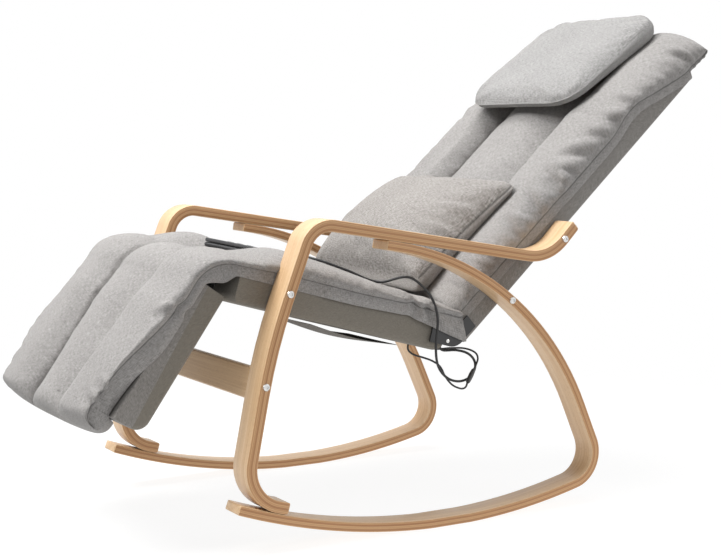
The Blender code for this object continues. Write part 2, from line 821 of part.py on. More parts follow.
mechanism_low = back_in_low + RAIL_THICKNESS + GAP
mechanism_high = back_in_high - RAIL_THICKNESS - GAP
for side_name, side in (("left", -1), ("right", 1)):
    guide = bar(
        "carriage_guide_" + side_name,
        GUIDE_DIAMETER / 2,
        (mechanism_low, side * GUIDE_SPACING / 2, GUIDE_LEVEL),
        mechanism_high - mechanism_low,
        "X",
        16,
    )
    place(part(guide), back)
    finish(guide, STEEL, 0.2, 1.0)
drive_motor = bar(
    "drive_motor",
    DRIVE_MOTOR_DIAMETER / 2,
    (mechanism_low, 0, GUIDE_LEVEL + GAP + DRIVE_MOTOR_DIAMETER / 2 - CARRIAGE_DEPTH / 2),
    DRIVE_MOTOR_LENGTH,
    "X",
    24,
)
place(part(drive_motor), back)
finish(drive_motor, STEEL, 0.4, 0.9)
screw_low = mechanism_low + DRIVE_MOTOR_LENGTH + GAP
lead_screw = bar(
    "lead_screw",
    SCREW_DIAMETER / 2,
    (0, 0, 0),
    mechanism_high - screw_low,
    "X",
    16,
)
place(part(lead_screw), back, (screw_low, 0, GUIDE_LEVEL))
finish(lead_screw, STEEL, 0.2, 1.0)

carriage_datum = datum("carriage_datum", back, (CARRIAGE_AT, 0, GUIDE_LEVEL))
carriage = block(
    "massage_carriage",
    (-CARRIAGE_LENGTH / 2, -CARRIAGE_WIDTH / 2, -CARRIAGE_DEPTH / 2),
    (CARRIAGE_LENGTH / 2, CARRIAGE_WIDTH / 2, CARRIAGE_DEPTH / 2),
)
place(part(carriage), carriage_datum)
round_edges(carriage, 0.002, 1)
bore_list = [
    ("carriage_screw_bore", 0.0, SCREW_DIAMETER / 2),
    ("carriage_guide_bore_left", -GUIDE_SPACING / 2, GUIDE_DIAMETER / 2),
    ("carriage_guide_bore_right", GUIDE_SPACING / 2, GUIDE_DIAMETER / 2),
]
for name, aside, radius in bore_list:
    bore = bar(name, radius + RUNNING_CLEARANCE, (-CARRIAGE_LENGTH, aside, 0), 2 * CARRIAGE_LENGTH, "X", 16)
    place(cutter(bore), carriage_datum)
    cut(carriage, bore)
for side_name, side in (("left", -1), ("right", 1)):
    bore = bar(
        "kneading_bore_" + side_name,
        KNEADING_SHAFT_RADIUS + RUNNING_CLEARANCE,
        (0, side * KNEADING_SPACING / 2, CARRIAGE_DEPTH / 2 - KNEADING_SHAFT_DEPTH - RUNNING_CLEARANCE),
        2 * KNEADING_SHAFT_DEPTH,
        "Z",
        16,
    )
    place(cutter(bore), carriage_datum)
    cut(carriage, bore)
finish(carriage, BLACK, 0.5)

for side_name, side in (("left", -1), ("right", 1)):
    seat_level = CARRIAGE_DEPTH / 2 + GAP
    head = turned(
        "kneading_head_" + side_name,
        [
            (0.0, KNEADING_DISC_THICKNESS),
            (KNEADING_DISC_RADIUS - 0.002, KNEADING_DISC_THICKNESS),
            (KNEADING_DISC_RADIUS, KNEADING_DISC_THICKNESS - 0.002),
            (KNEADING_DISC_RADIUS, 0.0),
            (KNEADING_SHAFT_RADIUS, 0.0),
            (KNEADING_SHAFT_RADIUS, -KNEADING_SHAFT_DEPTH),
            (0.0, -KNEADING_SHAFT_DEPTH),
        ],
        20,
    )
    spot = (0, side * KNEADING_SPACING / 2, seat_level)
    place(part(head), carriage_datum, spot)
    for turn in (-1, 1):
        shape = bmesh.new()
        bmesh.ops.create_uvsphere(shape, u_segments=12, v_segments=8, radius=KNEADING_KNOB_RADIUS)
        for vertex in shape.verts:
            vertex.co.z *= KNEADING_KNOB_HEIGHT / KNEADING_KNOB_RADIUS
            vertex.co.x += turn * KNEADING_KNOB_OFFSET
            vertex.co.z += KNEADING_DISC_THICKNESS / 2
            vertex.co.z = max(vertex.co.z, KNEADING_DISC_THICKNESS / 2)
        bmesh.ops.remove_doubles(shape, verts=shape.verts, dist=0.00001)
        knob = cutter(mesh_object("kneading_knob_" + side_name + str(turn), shape))
        place(knob, carriage_datum, spot)
        join(head, knob)
    finish(head, (0.12, 0.12, 0.13), 0.45)

kneading_motor = bar(
    "kneading_motor",
    KNEADING_MOTOR_DIAMETER / 2,
    (CARRIAGE_LENGTH / 2 + GAP, KNEADING_MOTOR_OFFSET, 0),
    KNEADING_MOTOR_LENGTH,
    "X",
    20,
)
place(part(kneading_motor), carriage_datum)
finish(kneading_motor, STEEL, 0.4, 0.9)

control_box = block(
    "control_box",
    (mechanism_low, CONTROL_BOX_SIDE_GAP - panel_inside, back_floor),
    (
        mechanism_low + CONTROL_BOX_LENGTH,
        -CARRIAGE_WIDTH / 2 - CONTROL_BOX_CARRIAGE_GAP,
        back_floor + CONTROL_BOX_DEPTH,
    ),
)
place(part(control_box), back)
round_edges(control_box, 0.002, 2)
finish(control_box, BLACK, 0.5)

socket_profile = [
    (SOCKET_DIAMETER * 0.22, SOCKET_LENGTH),
    (SOCKET_DIAMETER * 0.40, SOCKET_LENGTH),
    (SOCKET_DIAMETER / 2, SOCKET_LENGTH * 0.7),
    (SOCKET_DIAMETER / 2, 0.0),
    (0.0, 0.0),
    (0.0, SOCKET_LENGTH * 0.4),
    (SOCKET_DIAMETER * 0.22, SOCKET_LENGTH * 0.4),
    (SOCKET_DIAMETER * 0.22, SOCKET_LENGTH),
]
socket_side = SOCKET_SIDE_GAP - panel_half
for name, aside in (("controller_cord_gland", 0.0), ("power_socket", SOCKET_SPACING)):
    socket = part(turned(name, socket_profile, 16))
    spot = (-BACK_BELOW - GAP, socket_side + aside, socket_level)
    place(socket, back, spot, (0, -math.pi / 2, 0))
    finish(socket, BLACK, 0.4)

# Legrest panel and its hinges

hinge_along = -SEAT_AHEAD - HINGE_SETBACK
hinge_up = -SEAT_BELOW + HINGE_RISE
hinge_at = seat_bolt + hinge_along * direction(-SEAT_SLOPE) + hinge_up * left_of(-SEAT_SLOPE)
legrest = datum("legrest_hinge", None, in_space(hinge_at), (0, -LEGREST_DROP, 0))
legrest_cover = part(
    tray(
        "legrest_cover",
        (-LEGREST_LENGTH, 0.0),
        (-HINGE_SETBACK, LEGREST_DEPTH),
        legrest_half,
        LEGREST_CHAMFER,
    )
)
place(legrest_cover, legrest)
finish(legrest_cover, FABRIC_DARK, 0.9)
legrest_inside = legrest_half - COVER_WALL - GAP
legrest_in_low = -LEGREST_LENGTH + COVER_WALL + GAP
legrest_in_high = -HINGE_SETBACK - COVER_WALL - GAP
legrest_board = block(
    "legrest_board",
    (legrest_in_low, -legrest_inside, LEGREST_DEPTH - BOARD_THICKNESS),
    (legrest_in_high, legrest_inside, LEGREST_DEPTH),
)
place(part(legrest_board), legrest)
finish(legrest_board, TIMBER, 0.7)
leaf_low = HINGE_KNUCKLE_RADIUS + RUNNING_CLEARANCE
leaf_high = HINGE_LEAF_HEIGHT
leaf_face = HINGE_SETBACK - GAP
outer_knuckle = (HINGE_WIDTH - HINGE_KNUCKLE_LENGTH) / 2 - RUNNING_CLEARANCE
for side_name, side in (("left", -1), ("right", 1)):
    middle = side * (legrest_half - HINGE_SIDE_GAP)
    seat_hinge = datum("seat_leaf_datum_" + side_name, seat, (hinge_along, middle, hinge_up))
    seat_leaf = block(
        "hinge_seat_leaf_" + side_name,
        (leaf_face - HINGE_LEAF_THICKNESS, -HINGE_WIDTH / 2, leaf_low),
        (leaf_face, HINGE_WIDTH / 2, leaf_high),
    )
    place(part(seat_leaf), seat_hinge)
    for end in (-1, 1):
        start = HINGE_KNUCKLE_LENGTH / 2 + RUNNING_CLEARANCE if end > 0 else -HINGE_WIDTH / 2
        knuckle = bar("seat_knuckle", HINGE_KNUCKLE_RADIUS, (0, start, 0), outer_knuckle, "Y", 16)
        place(cutter(knuckle), seat_hinge)
        join(seat_leaf, knuckle)
        tab_end = (leaf_face, start + outer_knuckle, leaf_low + HINGE_LEAF_THICKNESS)
        tab = block("seat_tab", (0, start, 0), tab_end)
        place(cutter(tab), seat_hinge)
        join(seat_leaf, tab)
    pin = bar("hinge_pin", HINGE_PIN_RADIUS, (0, 0.001 - HINGE_WIDTH / 2, 0), HINGE_WIDTH - 0.002, "Y", 16)
    place(cutter(pin), seat_hinge)
    join(seat_leaf, pin)
    finish(seat_leaf, STEEL, 0.35, 1.0)

    leg_hinge = datum("legrest_leaf_datum_" + side_name, legrest, (0, middle, 0))
    leg_leaf = block(
        "hinge_legrest_leaf_" + side_name,
        (-leaf_face, -HINGE_WIDTH / 2, leaf_low),
        (-leaf_face + HINGE_LEAF_THICKNESS, HINGE_WIDTH / 2, leaf_high),
    )
    place(part(leg_leaf), leg_hinge)
    knuckle = bar(
        "legrest_knuckle",
        HINGE_KNUCKLE_RADIUS,
        (0, -HINGE_KNUCKLE_LENGTH / 2, 0),
        HINGE_KNUCKLE_LENGTH,
        "Y",
        16,
    )
    place(cutter(knuckle), leg_hinge)
    join(leg_leaf, knuckle)
    tab = block(
        "legrest_tab",
        (-leaf_face, -HINGE_KNUCKLE_LENGTH / 2, 0),
        (0, HINGE_KNUCKLE_LENGTH / 2, leaf_low + HINGE_LEAF_THICKNESS),
    )
    place(cutter(tab), leg_hinge)
    join(leg_leaf, tab)
    eye_radius = HINGE_PIN_RADIUS + RUNNING_CLEARANCE
    eye = bar("legrest_eye", eye_radius, (0, -HINGE_WIDTH, 0), 2 * HINGE_WIDTH, "Y", 16)
    place(cutter(eye), leg_hinge)
    cut(leg_leaf, eye)
    finish(leg_leaf, STEEL, 0.35, 1.0)

# Quilted pads: long swells between two sewn channels, with the sides drawn in

seat_pad_start = hinge_along
seat_pad_end = seat_behind - SEAT_PAD_STOP_SHORT
seat_pad_half = panel_half - SEAT_PAD_INSET


def eased(share):
    share = min(1.0, max(0.0, share))
    return share * share * (3 - 2 * share)


def quilted(thickness, across, channel):
    """The pad's thickness at a place across it: full on the swells, least in the channels."""
    return thickness * (PAD_EDGE_SHARE + (1 - PAD_EDGE_SHARE) * channel_swell(across, channel))


def seat_pad_thickness(along, across):
    rise = eased((along - seat_pad_start) / SEAT_PAD_RAMP)
    full = PAD_KNEE_THICKNESS + rise * (SEAT_PAD_THICKNESS - PAD_KNEE_THICKNESS)
    fall = eased((along - seat_pad_start - SEAT_PAD_RAMP) / (seat_pad_end - seat_pad_start - SEAT_PAD_RAMP))
    full -= fall * (SEAT_PAD_THICKNESS - SEAT_PAD_REAR_THICKNESS)
    if abs(across) < PAD_CHANNEL:
        full -= SEAT_PAD_MIDDLE_DROP * rise * channel_swell(across, PAD_CHANNEL)
    return quilted(full, across, PAD_CHANNEL)


def seat_pad_rule(length, width, height):
    across = channel_place(width, PAD_CHANNEL)
    along = seat_pad_start + length * (seat_pad_end - seat_pad_start)
    tuck = (1 - height) * SEAT_PAD_TUCK if length > 0.99 else 0.0
    aside = across * seat_pad_half * drawn_in(height)
    return along + tuck, aside, SEAT_ABOVE + GAP + height * seat_pad_thickness(along, across)


seat_pad = place(part(soft_block("seat_pad", (11, 13, 1), seat_pad_rule)), seat)
finish(seat_pad, FABRIC_PALE, 0.95)

legrest_roll = 3
legrest_rows = 18


def rolled_end(share, low, high):
    """The reach, lower and upper level of a pad's rolled end, from its start at 0 to its tip at 1."""
    middle = (low + high) / 2
    half = (high - low) / 2 * (0.15 + 0.85 * math.cos(share * math.pi / 2))
    return math.sin(share * math.pi / 2), middle - half, middle + half


def legrest_pad_rule(length, width, height):
    across = channel_place(width, PAD_CHANNEL)
    row = round(length * legrest_rows)
    along = -(LEGREST_LENGTH + GAP) * (legrest_rows - row) / (legrest_rows - legrest_roll - 1)
    low = LEGREST_DEPTH + GAP
    rise = eased(-along / LEGREST_PAD_RAMP)
    full = PAD_KNEE_THICKNESS + rise * (LEGREST_PAD_THICKNESS - PAD_KNEE_THICKNESS)
    high = low + quilted(full, across, PAD_CHANNEL)
    if row <= legrest_roll:
        share = 1 - row / legrest_roll
        reach, low, high = rolled_end(share, low - LEGREST_PAD_DROOP, high)
        overhang = LEGREST_PAD_OVERHANG - LEGREST_PAD_CORNER_SETBACK * across * across
        along = -LEGREST_LENGTH - 2 * GAP - reach * overhang
    half = legrest_half - LEGREST_PAD_FOOT_INSET * eased(-along / LEGREST_LENGTH)
    return along, across * half * drawn_in(height), low + height * (high - low)


legrest_pad = place(part(soft_block("legrest_pad", (legrest_rows - 1, 13, 1), legrest_pad_rule)), legrest)
finish(legrest_pad, FABRIC_PALE, 0.95)

# The pad over the knee joins both, turning about the hinge axis
knee_from = math.pi / 2 - SEAT_SLOPE
knee_to = math.pi / 2 + LEGREST_DROP
knee_seat_base = SEAT_ABOVE - hinge_up + GAP
knee_leg_base = LEGREST_DEPTH + GAP


def knee_pad_rule(length, width, height):
    across = channel_place(width, PAD_CHANNEL)
    margin = GAP / knee_leg_base * 1.5
    angle = knee_to - margin + length * (knee_from - knee_to + 2 * margin)
    base = knee_leg_base + length * (knee_seat_base - knee_leg_base)
    half = legrest_half + length * (seat_pad_half - legrest_half)
    reach = base + height * quilted(PAD_KNEE_THICKNESS, across, PAD_CHANNEL)
    return reach * math.cos(angle), across * half * drawn_in(height), reach * math.sin(angle)


knee_pad = place(part(soft_block("knee_pad", (5, 13, 1), knee_pad_rule)), None, in_space(hinge_at))
finish(knee_pad, FABRIC_PALE, 0.95)

back_pad_half = panel_half - BACK_PAD_INSET
back_pad_start = -BACK_BELOW + BACK_PAD_STOP_SHORT
back_roll = 4
back_rows = 20


def back_pad_rule(length, width, height):
    across = channel_place(width, BACK_PAD_CHANNEL)
    row = round(length * back_rows)
    last = back_rows - back_roll - 1
    along = back_pad_start + (BACK_ABOVE + GAP - back_pad_start) * row / last
    low = BACK_FRONT + GAP
    taper = max(0.0, along - BACK_PAD_TAPER_FROM) / (BACK_ABOVE - BACK_PAD_TAPER_FROM)
    full = BACK_PAD_THICKNESS - taper * (BACK_PAD_THICKNESS - BACK_PAD_TOP_THICKNESS)
    high = low + quilted(full * min(1.0, 0.7 + row / 6), across, BACK_PAD_CHANNEL)
    if row == 0:
        along -= (1 - height) * BACK_PAD_TUCK
    if row > last:
        share = (row - last - 1) / back_roll
        reach, low, high = rolled_end(share, low - BACK_PAD_DROOP, high)
        along = BACK_ABOVE + 2 * GAP + reach * BACK_PAD_OVERHANG
    aside = across * back_pad_half * drawn_in(height)
    return along, aside, low + height * (high - low)


back_pad = place(part(soft_block("back_pad", (back_rows - 1, 13, 1), back_pad_rule)), back)
finish(back_pad, FABRIC_PALE, 0.95)

# Pillows

pad_top = BACK_FRONT + GAP + BACK_PAD_THICKNESS


def headrest_rule(length, width, height):
    along = 2 * length - 1
    swell = math.sqrt(max(0.0, (1 - along**4) * (1 - width**4)))
    corner = 1 - 0.06 * along * along * width * width
    return (
        along * HEADREST_LENGTH / 2 * corner,
        width * HEADREST_WIDTH / 2 * corner * drawn_in(height),
        height * (HEADREST_EDGE + HEADREST_WEDGE * along + HEADREST_CROWN * swell),
    )


# The headrest lies on the top edge of the back's pad, tilted so that its lower end stands off
headrest_rise = math.tan(HEADREST_TILT) * (BACK_ABOVE - HEADREST_AT)
headrest_rest = BACK_FRONT + GAP + BACK_PAD_TOP_THICKNESS
headrest_spot = (HEADREST_AT, 0, headrest_rest + 2 * GAP + headrest_rise)
headrest = part(soft_block("headrest_pillow", (9, 9, 1), headrest_rule))
place(headrest, back, headrest_spot, (0, HEADREST_TILT, 0))
finish(headrest, FABRIC_PALE, 0.95)


def lumbar_rule(length, width, height):
    along = 2 * length - 1
    swell = ((1 - along * along) * (1 - width * width)) ** 0.55 if abs(along) < 1 and abs(width) < 1 else 0.0
    pinch = 1 - 0.05 * (1 - along * along) * width * width - 0.05 * (1 - width * width) * along * along
    return (
        along * LUMBAR_LENGTH / 2 * pinch * drawn_in(height),
        width * LUMBAR_WIDTH / 2 * pinch * drawn_in(height),
        height * (LUMBAR_EDGE - LUMBAR_WEDGE * along + LUMBAR_CROWN * swell),
    )


lumbar = part(soft_block("lumbar_pillow", (11, 13, 1), lumbar_rule))
place(lumbar, back, (LUMBAR_AT, 0, pad_top + GAP))
finish(lumbar, FABRIC_PALE, 0.95)

# Hand controller: two shells and three push buttons

pad_level = SEAT_ABOVE + 2 * GAP + seat_pad_thickness(CONTROLLER_AT, 0.0)
controller = datum(
    "controller_datum", seat, (CONTROLLER_AT, CONTROLLER_OFFSET, pad_level), (0, 0, CONTROLLER_TURN)
)
lower_shell = block(
    "controller_lower_shell",
    (-CONTROLLER_LENGTH / 2, -CONTROLLER_WIDTH / 2, 0),
    (CONTROLLER_LENGTH / 2, CONTROLLER_WIDTH / 2, CONTROLLER_LOWER - GAP),
)
place(part(lower_shell), controller)
round_edges(lower_shell, CONTROLLER_ROUND, 3)
finish(lower_shell, BLACK, 0.4)
upper_shell = block(
    "controller_upper_shell",
    (-CONTROLLER_LENGTH / 2, -CONTROLLER_WIDTH / 2, CONTROLLER_LOWER),
    (CONTROLLER_LENGTH / 2, CONTROLLER_WIDTH / 2, CONTROLLER_LOWER + CONTROLLER_UPPER),
)
place(part(upper_shell), controller)
round_edges(upper_shell, CONTROLLER_ROUND * 0.7, 3)
controller_top = CONTROLLER_LOWER + CONTROLLER_UPPER
button_names = ("power_button", "mode_button", "speed_button")
for index, name in enumerate(button_names):
    along = (index - 1) * BUTTON_PITCH
    well_depth = BUTTON_DEPTH + BUTTON_TRAVEL + GAP
    well = bar(
        name + "_well",
        BUTTON_DIAMETER / 2 + RUNNING_CLEARANCE,
        (along, 0, controller_top - well_depth),
        2 * well_depth,
        "Z",
        20,
    )
    place(cutter(well), controller)
    cut(upper_shell, well)
    button = bar(
        name,
        BUTTON_DIAMETER / 2,
        (0, 0, -BUTTON_DEPTH),
        BUTTON_DEPTH + BUTTON_STAND,
        "Z",
        20,
    )
    place(part(button), controller, (along, 0, controller_top))
    round_edges(button, 0.0006, 2)
    finish(button, (0.10, 0.10, 0.11), 0.4)
finish(upper_shell, BLACK, 0.3)

# Cords: smooth curves through the points that each passes


def smooth_route(points, spacing):
    """Points along a smooth curve through the route, about one spacing apart."""
    spots = [2 * points[0] - points[1]] + points + [2 * points[-1] - points[-2]]
    runs = [(after - before).normalized() for before, after in zip(spots, spots[2:])]
    route = [points[0].copy()]
    for index in range(len(points) - 1):
        first = points[index]
        second = points[index + 1]
        span = (second - first).length
        count = max(1, round(span / spacing))
        for step in range(1, count + 1):
            t = step / count
            spot = first * (1 - 3 * t * t + 2 * t * t * t)
            spot += second * (3 * t * t - 2 * t * t * t)
            spot += runs[index] * span * (t - 2 * t * t + t * t * t)
            spot += runs[index + 1] * span * (t * t * t - t * t)
            route.append(spot)
    return route


def world_of(empty, point):
    bpy.context.view_layer.update()
    return empty.matrix_world @ Vector(point)


def cord(name, route, diameter, sides):
    spots = smooth_route(route, 2.6 * diameter)
    obj = part(tube(name, spots, diameter, False, sides))
    finish(obj, BLACK, 0.5)
    length = sum((b - a).length for a, b in zip(spots, spots[1:]))
    print(name, "length", round(length, 3), "points", len(spots))
    return obj


cord_level = CONTROLLER_LOWER / 2
controller_exit = world_of(controller, (CONTROLLER_LENGTH / 2 + GAP, 0, cord_level))
controller_ahead = world_of(controller, (CONTROLLER_LENGTH / 2 + 0.012, 0, cord_level))


def on_seat_pad(along, aside):
    """A point of the cord's centre where it lies on the seat pad."""
    lift = SEAT_ABOVE + CORD_LIFT + CONTROLLER_CORD_DIAMETER / 2
    return world_of(seat, (along, aside, lift + seat_pad_thickness(along, aside / seat_pad_half)))


def beside_hip(ahead, out, up):
    """A point of a cord that hangs at the hip, out from the panel's side."""
    return Vector((hip.x + ahead, -panel_half - out, hip.y + up))


gland_mouth = world_of(back, (-BACK_BELOW - 2 * GAP - SOCKET_LENGTH, socket_side, socket_level))
gland_below = world_of(back, (-BACK_BELOW - SOCKET_LENGTH - 0.02, socket_side, socket_level))
socket_mouth = world_of(
    back, (-BACK_BELOW - 2 * GAP - SOCKET_LENGTH, socket_side + SOCKET_SPACING, socket_level)
)
socket_below = world_of(
    back, (-BACK_BELOW - SOCKET_LENGTH - 0.02, socket_side + SOCKET_SPACING, socket_level)
)
cord(
    "controller_cord",
    [
        controller_exit,
        controller_ahead,
        on_seat_pad(0.079, -0.116),
        on_seat_pad(0.090, -0.138),
        on_seat_pad(0.115, -0.185),
        on_seat_pad(0.165, -0.215),
        on_seat_pad(0.225, -0.240),
        beside_hip(-0.114, 0.0018, 0.1293),
        beside_hip(-0.087, 0.0108, 0.1143),
        beside_hip(-0.062, 0.0128, 0.0863),
        beside_hip(-0.05, 0.0148, 0.0473),
        beside_hip(-0.053, 0.0148, -0.0117),
        beside_hip(-0.046, 0.0138, -0.0467),
        beside_hip(-0.025, 0.0118, -0.0707),
        beside_hip(0.004, 0.0078, -0.0797),
        beside_hip(0.031, 0.0028, -0.0767),
        beside_hip(0.049, -0.0062, -0.0567),
        beside_hip(0.043, -0.0202, -0.0337),
        gland_below,
        gland_mouth,
    ],
    CONTROLLER_CORD_DIAMETER,
    2,
)

connector_low = beside_hip(0.0185, 0.0198, -0.0837)
connector_run = Vector((0.0236, 0.010, 0.0259)).normalized()
connector = part(
    turned(
        "lead_connector",
        [
            (0.0, CONNECTOR_LENGTH),
            (CONNECTOR_DIAMETER * 0.30, CONNECTOR_LENGTH),
            (CONNECTOR_DIAMETER * 0.42, CONNECTOR_LENGTH * 0.92),
            (CONNECTOR_DIAMETER * 0.50, CONNECTOR_LENGTH * 0.60),
            (CONNECTOR_DIAMETER * 0.50, CONNECTOR_LENGTH * 0.40),
            (CONNECTOR_DIAMETER * 0.42, CONNECTOR_LENGTH * 0.08),
            (CONNECTOR_DIAMETER * 0.30, 0.0),
            (0.0, 0.0),
        ],
        14,
    )
)
place(connector, None, connector_low, Vector((0, 0, 1)).rotation_difference(connector_run).to_euler())
finish(connector, BLACK, 0.35)
connector_high = connector_low + (CONNECTOR_LENGTH + GAP) * connector_run
seat_outlet_along = seat_behind - SEAT_OUTLET_SETBACK
seat_outlet_side = SEAT_OUTLET_SIDE_GAP - panel_half
seat_outlet = world_of(seat, (seat_outlet_along, seat_outlet_side, -SEAT_BELOW - GAP))
seat_outlet_below = world_of(seat, (seat_outlet_along, seat_outlet_side, -SEAT_BELOW - 0.016))
cord(
    "seat_link_lead",
    [
        seat_outlet,
        seat_outlet_below,
        beside_hip(-0.035, 0.0038, -0.0647),
        beside_hip(-0.021, 0.0178, -0.0857),
        beside_hip(-0.001, 0.0238, -0.0947),
        connector_low - 0.012 * connector_run,
        connector_low - GAP * connector_run,
    ],
    LINK_LEAD_DIAMETER,
    2,
)
cord(
    "back_link_lead",
    [
        connector_high,
        connector_high + 0.012 * connector_run,
        beside_hip(0.065, -0.0102, -0.0357),
        beside_hip(0.057, -0.0382, -0.0217),
        socket_below,
        socket_mouth,
    ],
    LINK_LEAD_DIAMETER,
    2,
)
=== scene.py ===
import math

import bmesh
import bpy
import numpy as np
from mathutils import Matrix, Vector
from mathutils.bvhtree import BVHTree


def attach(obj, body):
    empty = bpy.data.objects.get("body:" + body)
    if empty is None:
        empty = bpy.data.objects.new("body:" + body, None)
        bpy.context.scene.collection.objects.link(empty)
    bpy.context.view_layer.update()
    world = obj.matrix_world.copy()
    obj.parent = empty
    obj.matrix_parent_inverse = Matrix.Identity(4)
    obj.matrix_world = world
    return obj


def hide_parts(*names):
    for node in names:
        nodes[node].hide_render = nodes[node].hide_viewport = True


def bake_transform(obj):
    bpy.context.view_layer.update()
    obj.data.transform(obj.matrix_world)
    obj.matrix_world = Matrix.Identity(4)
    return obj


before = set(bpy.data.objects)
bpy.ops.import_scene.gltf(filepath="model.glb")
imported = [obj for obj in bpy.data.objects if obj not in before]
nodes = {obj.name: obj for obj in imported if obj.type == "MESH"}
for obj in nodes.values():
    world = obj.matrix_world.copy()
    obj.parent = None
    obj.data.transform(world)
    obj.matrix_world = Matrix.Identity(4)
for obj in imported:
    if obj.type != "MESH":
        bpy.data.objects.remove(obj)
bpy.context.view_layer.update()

scene = bpy.context.scene
scene.view_settings.view_transform = "Standard"

# Camera

camera_data = bpy.data.cameras.new("camera")
camera_data.lens = 73.65
camera_data.sensor_width = 36.0
camera = bpy.data.objects.new("camera", camera_data)
camera.location = (-1.5706, -2.6335, 0.7545)
camera.rotation_euler = (math.radians(84.32), 0.0, math.radians(-30.65))
scene.collection.objects.link(camera)
scene.camera = camera

# Frames of the seat, the back, the legrest and the two pillows


def frame_at(origin, degrees):
    """A frame whose X axis lies in the X-Z plane, so many degrees up from level."""
    turn = math.radians(degrees)
    ahead = Vector((math.cos(turn), 0.0, math.sin(turn)))
    up = Vector((-math.sin(turn), 0.0, math.cos(turn)))
    rows = [(ahead[i], (0.0, 1.0, 0.0)[i], up[i], origin[i]) for i in range(3)]
    return Matrix(rows + [(0.0, 0.0, 0.0, 1.0)])


SEAT = frame_at((-0.34836, 0.0, 0.4675), -15.5)
BACK = frame_at((0.26833, 0.0, 0.54367), 42.0)
HINGE = Vector((-0.43794, 0.0, 0.45809))
LEGREST = frame_at(HINGE, 55.0)
HEADREST = frame_at(BACK @ Vector((0.421, 0.0, 0.0874)), 33.0)
LUMBAR = frame_at(BACK @ Vector((-0.106, 0.0, 0.0926)), 42.0)

# Materials


def feed(tree, socket, value):
    if isinstance(value, bpy.types.NodeSocket):
        tree.links.new(value, socket)
    else:
        socket.default_value = value


def maths(tree, operation, *values, kind="ShaderNodeMath"):
    node = tree.nodes.new(kind)
    node.operation = operation
    for socket, value in zip(node.inputs, values):
        feed(tree, socket, value)
    return node.outputs[0]


def vector_maths(tree, operation, *values):
    return maths(tree, operation, *values, kind="ShaderNodeVectorMath")


def set_inputs(tree, node, values):
    for label, value in values.items():
        feed(tree, node.inputs[label], value)


def noise(tree, vector, scale, detail=2.0, roughness=0.5):
    node = tree.nodes.new("ShaderNodeTexNoise")
    set_inputs(tree, node, {"Vector": vector, "Scale": scale, "Detail": detail, "Roughness": roughness})
    return node.outputs[0]


def axes_of(tree, vector):
    node = tree.nodes.new("ShaderNodeSeparateXYZ")
    tree.links.new(vector, node.inputs[0])
    return node.outputs


def map_range(tree, value, low, high, kind="LINEAR"):
    """0 below low and 1 above high."""
    node = tree.nodes.new("ShaderNodeMapRange")
    node.interpolation_type = kind
    set_inputs(tree, node, {"Value": value, "From Min": low, "From Max": high})
    return node


def ramp(tree, share, stops):
    node = tree.nodes.new("ShaderNodeValToRGB")
    feed(tree, node.inputs[0], share)
    band = node.color_ramp
    while len(band.elements) < len(stops):
        band.elements.new(0.5)
    for element, (place, colour) in zip(band.elements, stops):
        element.position = place
        element.color = (*colour, 1.0)
    return node.outputs[0]


def blend_colour(tree, share, first, second, kind="MIX"):
    node = tree.nodes.new("ShaderNodeMix")
    node.data_type = "RGBA"
    node.blend_type = kind
    feed(tree, node.inputs[0], share)
    feed(tree, node.inputs[6], first)
    feed(tree, node.inputs[7], second)
    return node.outputs[2]


def new_group(name, vector, numbers_taken, numbers_given):
    """A node group that takes one vector and some numbers, and gives numbers."""
    tree = bpy.data.node_groups.new(name, "ShaderNodeTree")
    tree.interface.new_socket(vector, in_out="INPUT", socket_type="NodeSocketVector")
    for way, labels in (("INPUT", numbers_taken), ("OUTPUT", numbers_given)):
        for label in labels:
            tree.interface.new_socket(label, in_out=way, socket_type="NodeSocketFloat")
    return tree, tree.nodes.new("NodeGroupInput").outputs, tree.nodes.new("NodeGroupOutput").inputs


def make_linen():
    """Plain weave with uneven yarns: a tone from 0 to 1 and a height."""
    tree, given, made = new_group("linen weave", "Cloth", ["Pitch"], ["Tone", "Height"])
    wander = noise(tree, given["Cloth"], 22.0, 1.0)
    drift = maths(tree, "MULTIPLY", maths(tree, "SUBTRACT", wander, 0.5), 0.004)
    axes = axes_of(tree, given["Cloth"])
    across = maths(tree, "ADD", axes[0], drift)
    along = maths(tree, "ADD", axes[1], drift)
    count = maths(tree, "DIVIDE", math.pi, given["Pitch"])
    warp = maths(tree, "SINE", maths(tree, "MULTIPLY", across, count))
    weft = maths(tree, "SINE", maths(tree, "MULTIPLY", along, count))
    over = maths(tree, "GREATER_THAN", maths(tree, "MULTIPLY", warp, weft), 0.0)
    warp_height = maths(tree, "MULTIPLY", maths(tree, "ABSOLUTE", warp), over)
    under = maths(tree, "SUBTRACT", 1.0, over)
    weft_height = maths(tree, "MULTIPLY", maths(tree, "ABSOLUTE", weft), under)
    yarn = maths(tree, "ADD", warp_height, weft_height)
    long_yarn = vector_maths(tree, "MULTIPLY", given["Cloth"], (1000.0, 110.0, 1.0))
    cross_yarn = vector_maths(tree, "MULTIPLY", given["Cloth"], (110.0, 1000.0, 1.0))
    slub = maths(tree, "ADD", noise(tree, long_yarn, 1.0, 2.0), noise(tree, cross_yarn, 1.0, 2.0))
    cloud = noise(tree, given["Cloth"], 9.0, 2.0)
    tone = maths(tree, "MULTIPLY_ADD", maths(tree, "SUBTRACT", slub, 1.0), 1.25, 0.5)
    tone = maths(tree, "MULTIPLY_ADD", maths(tree, "SUBTRACT", cloud, 0.5), 0.22, tone)
    tone = maths(tree, "MULTIPLY_ADD", maths(tree, "SUBTRACT", yarn, 0.6), 0.22, tone)
    tree.links.new(tone, made["Tone"])
    tree.links.new(maths(tree, "MULTIPLY_ADD", slub, 0.5, yarn), made["Height"])
    return tree


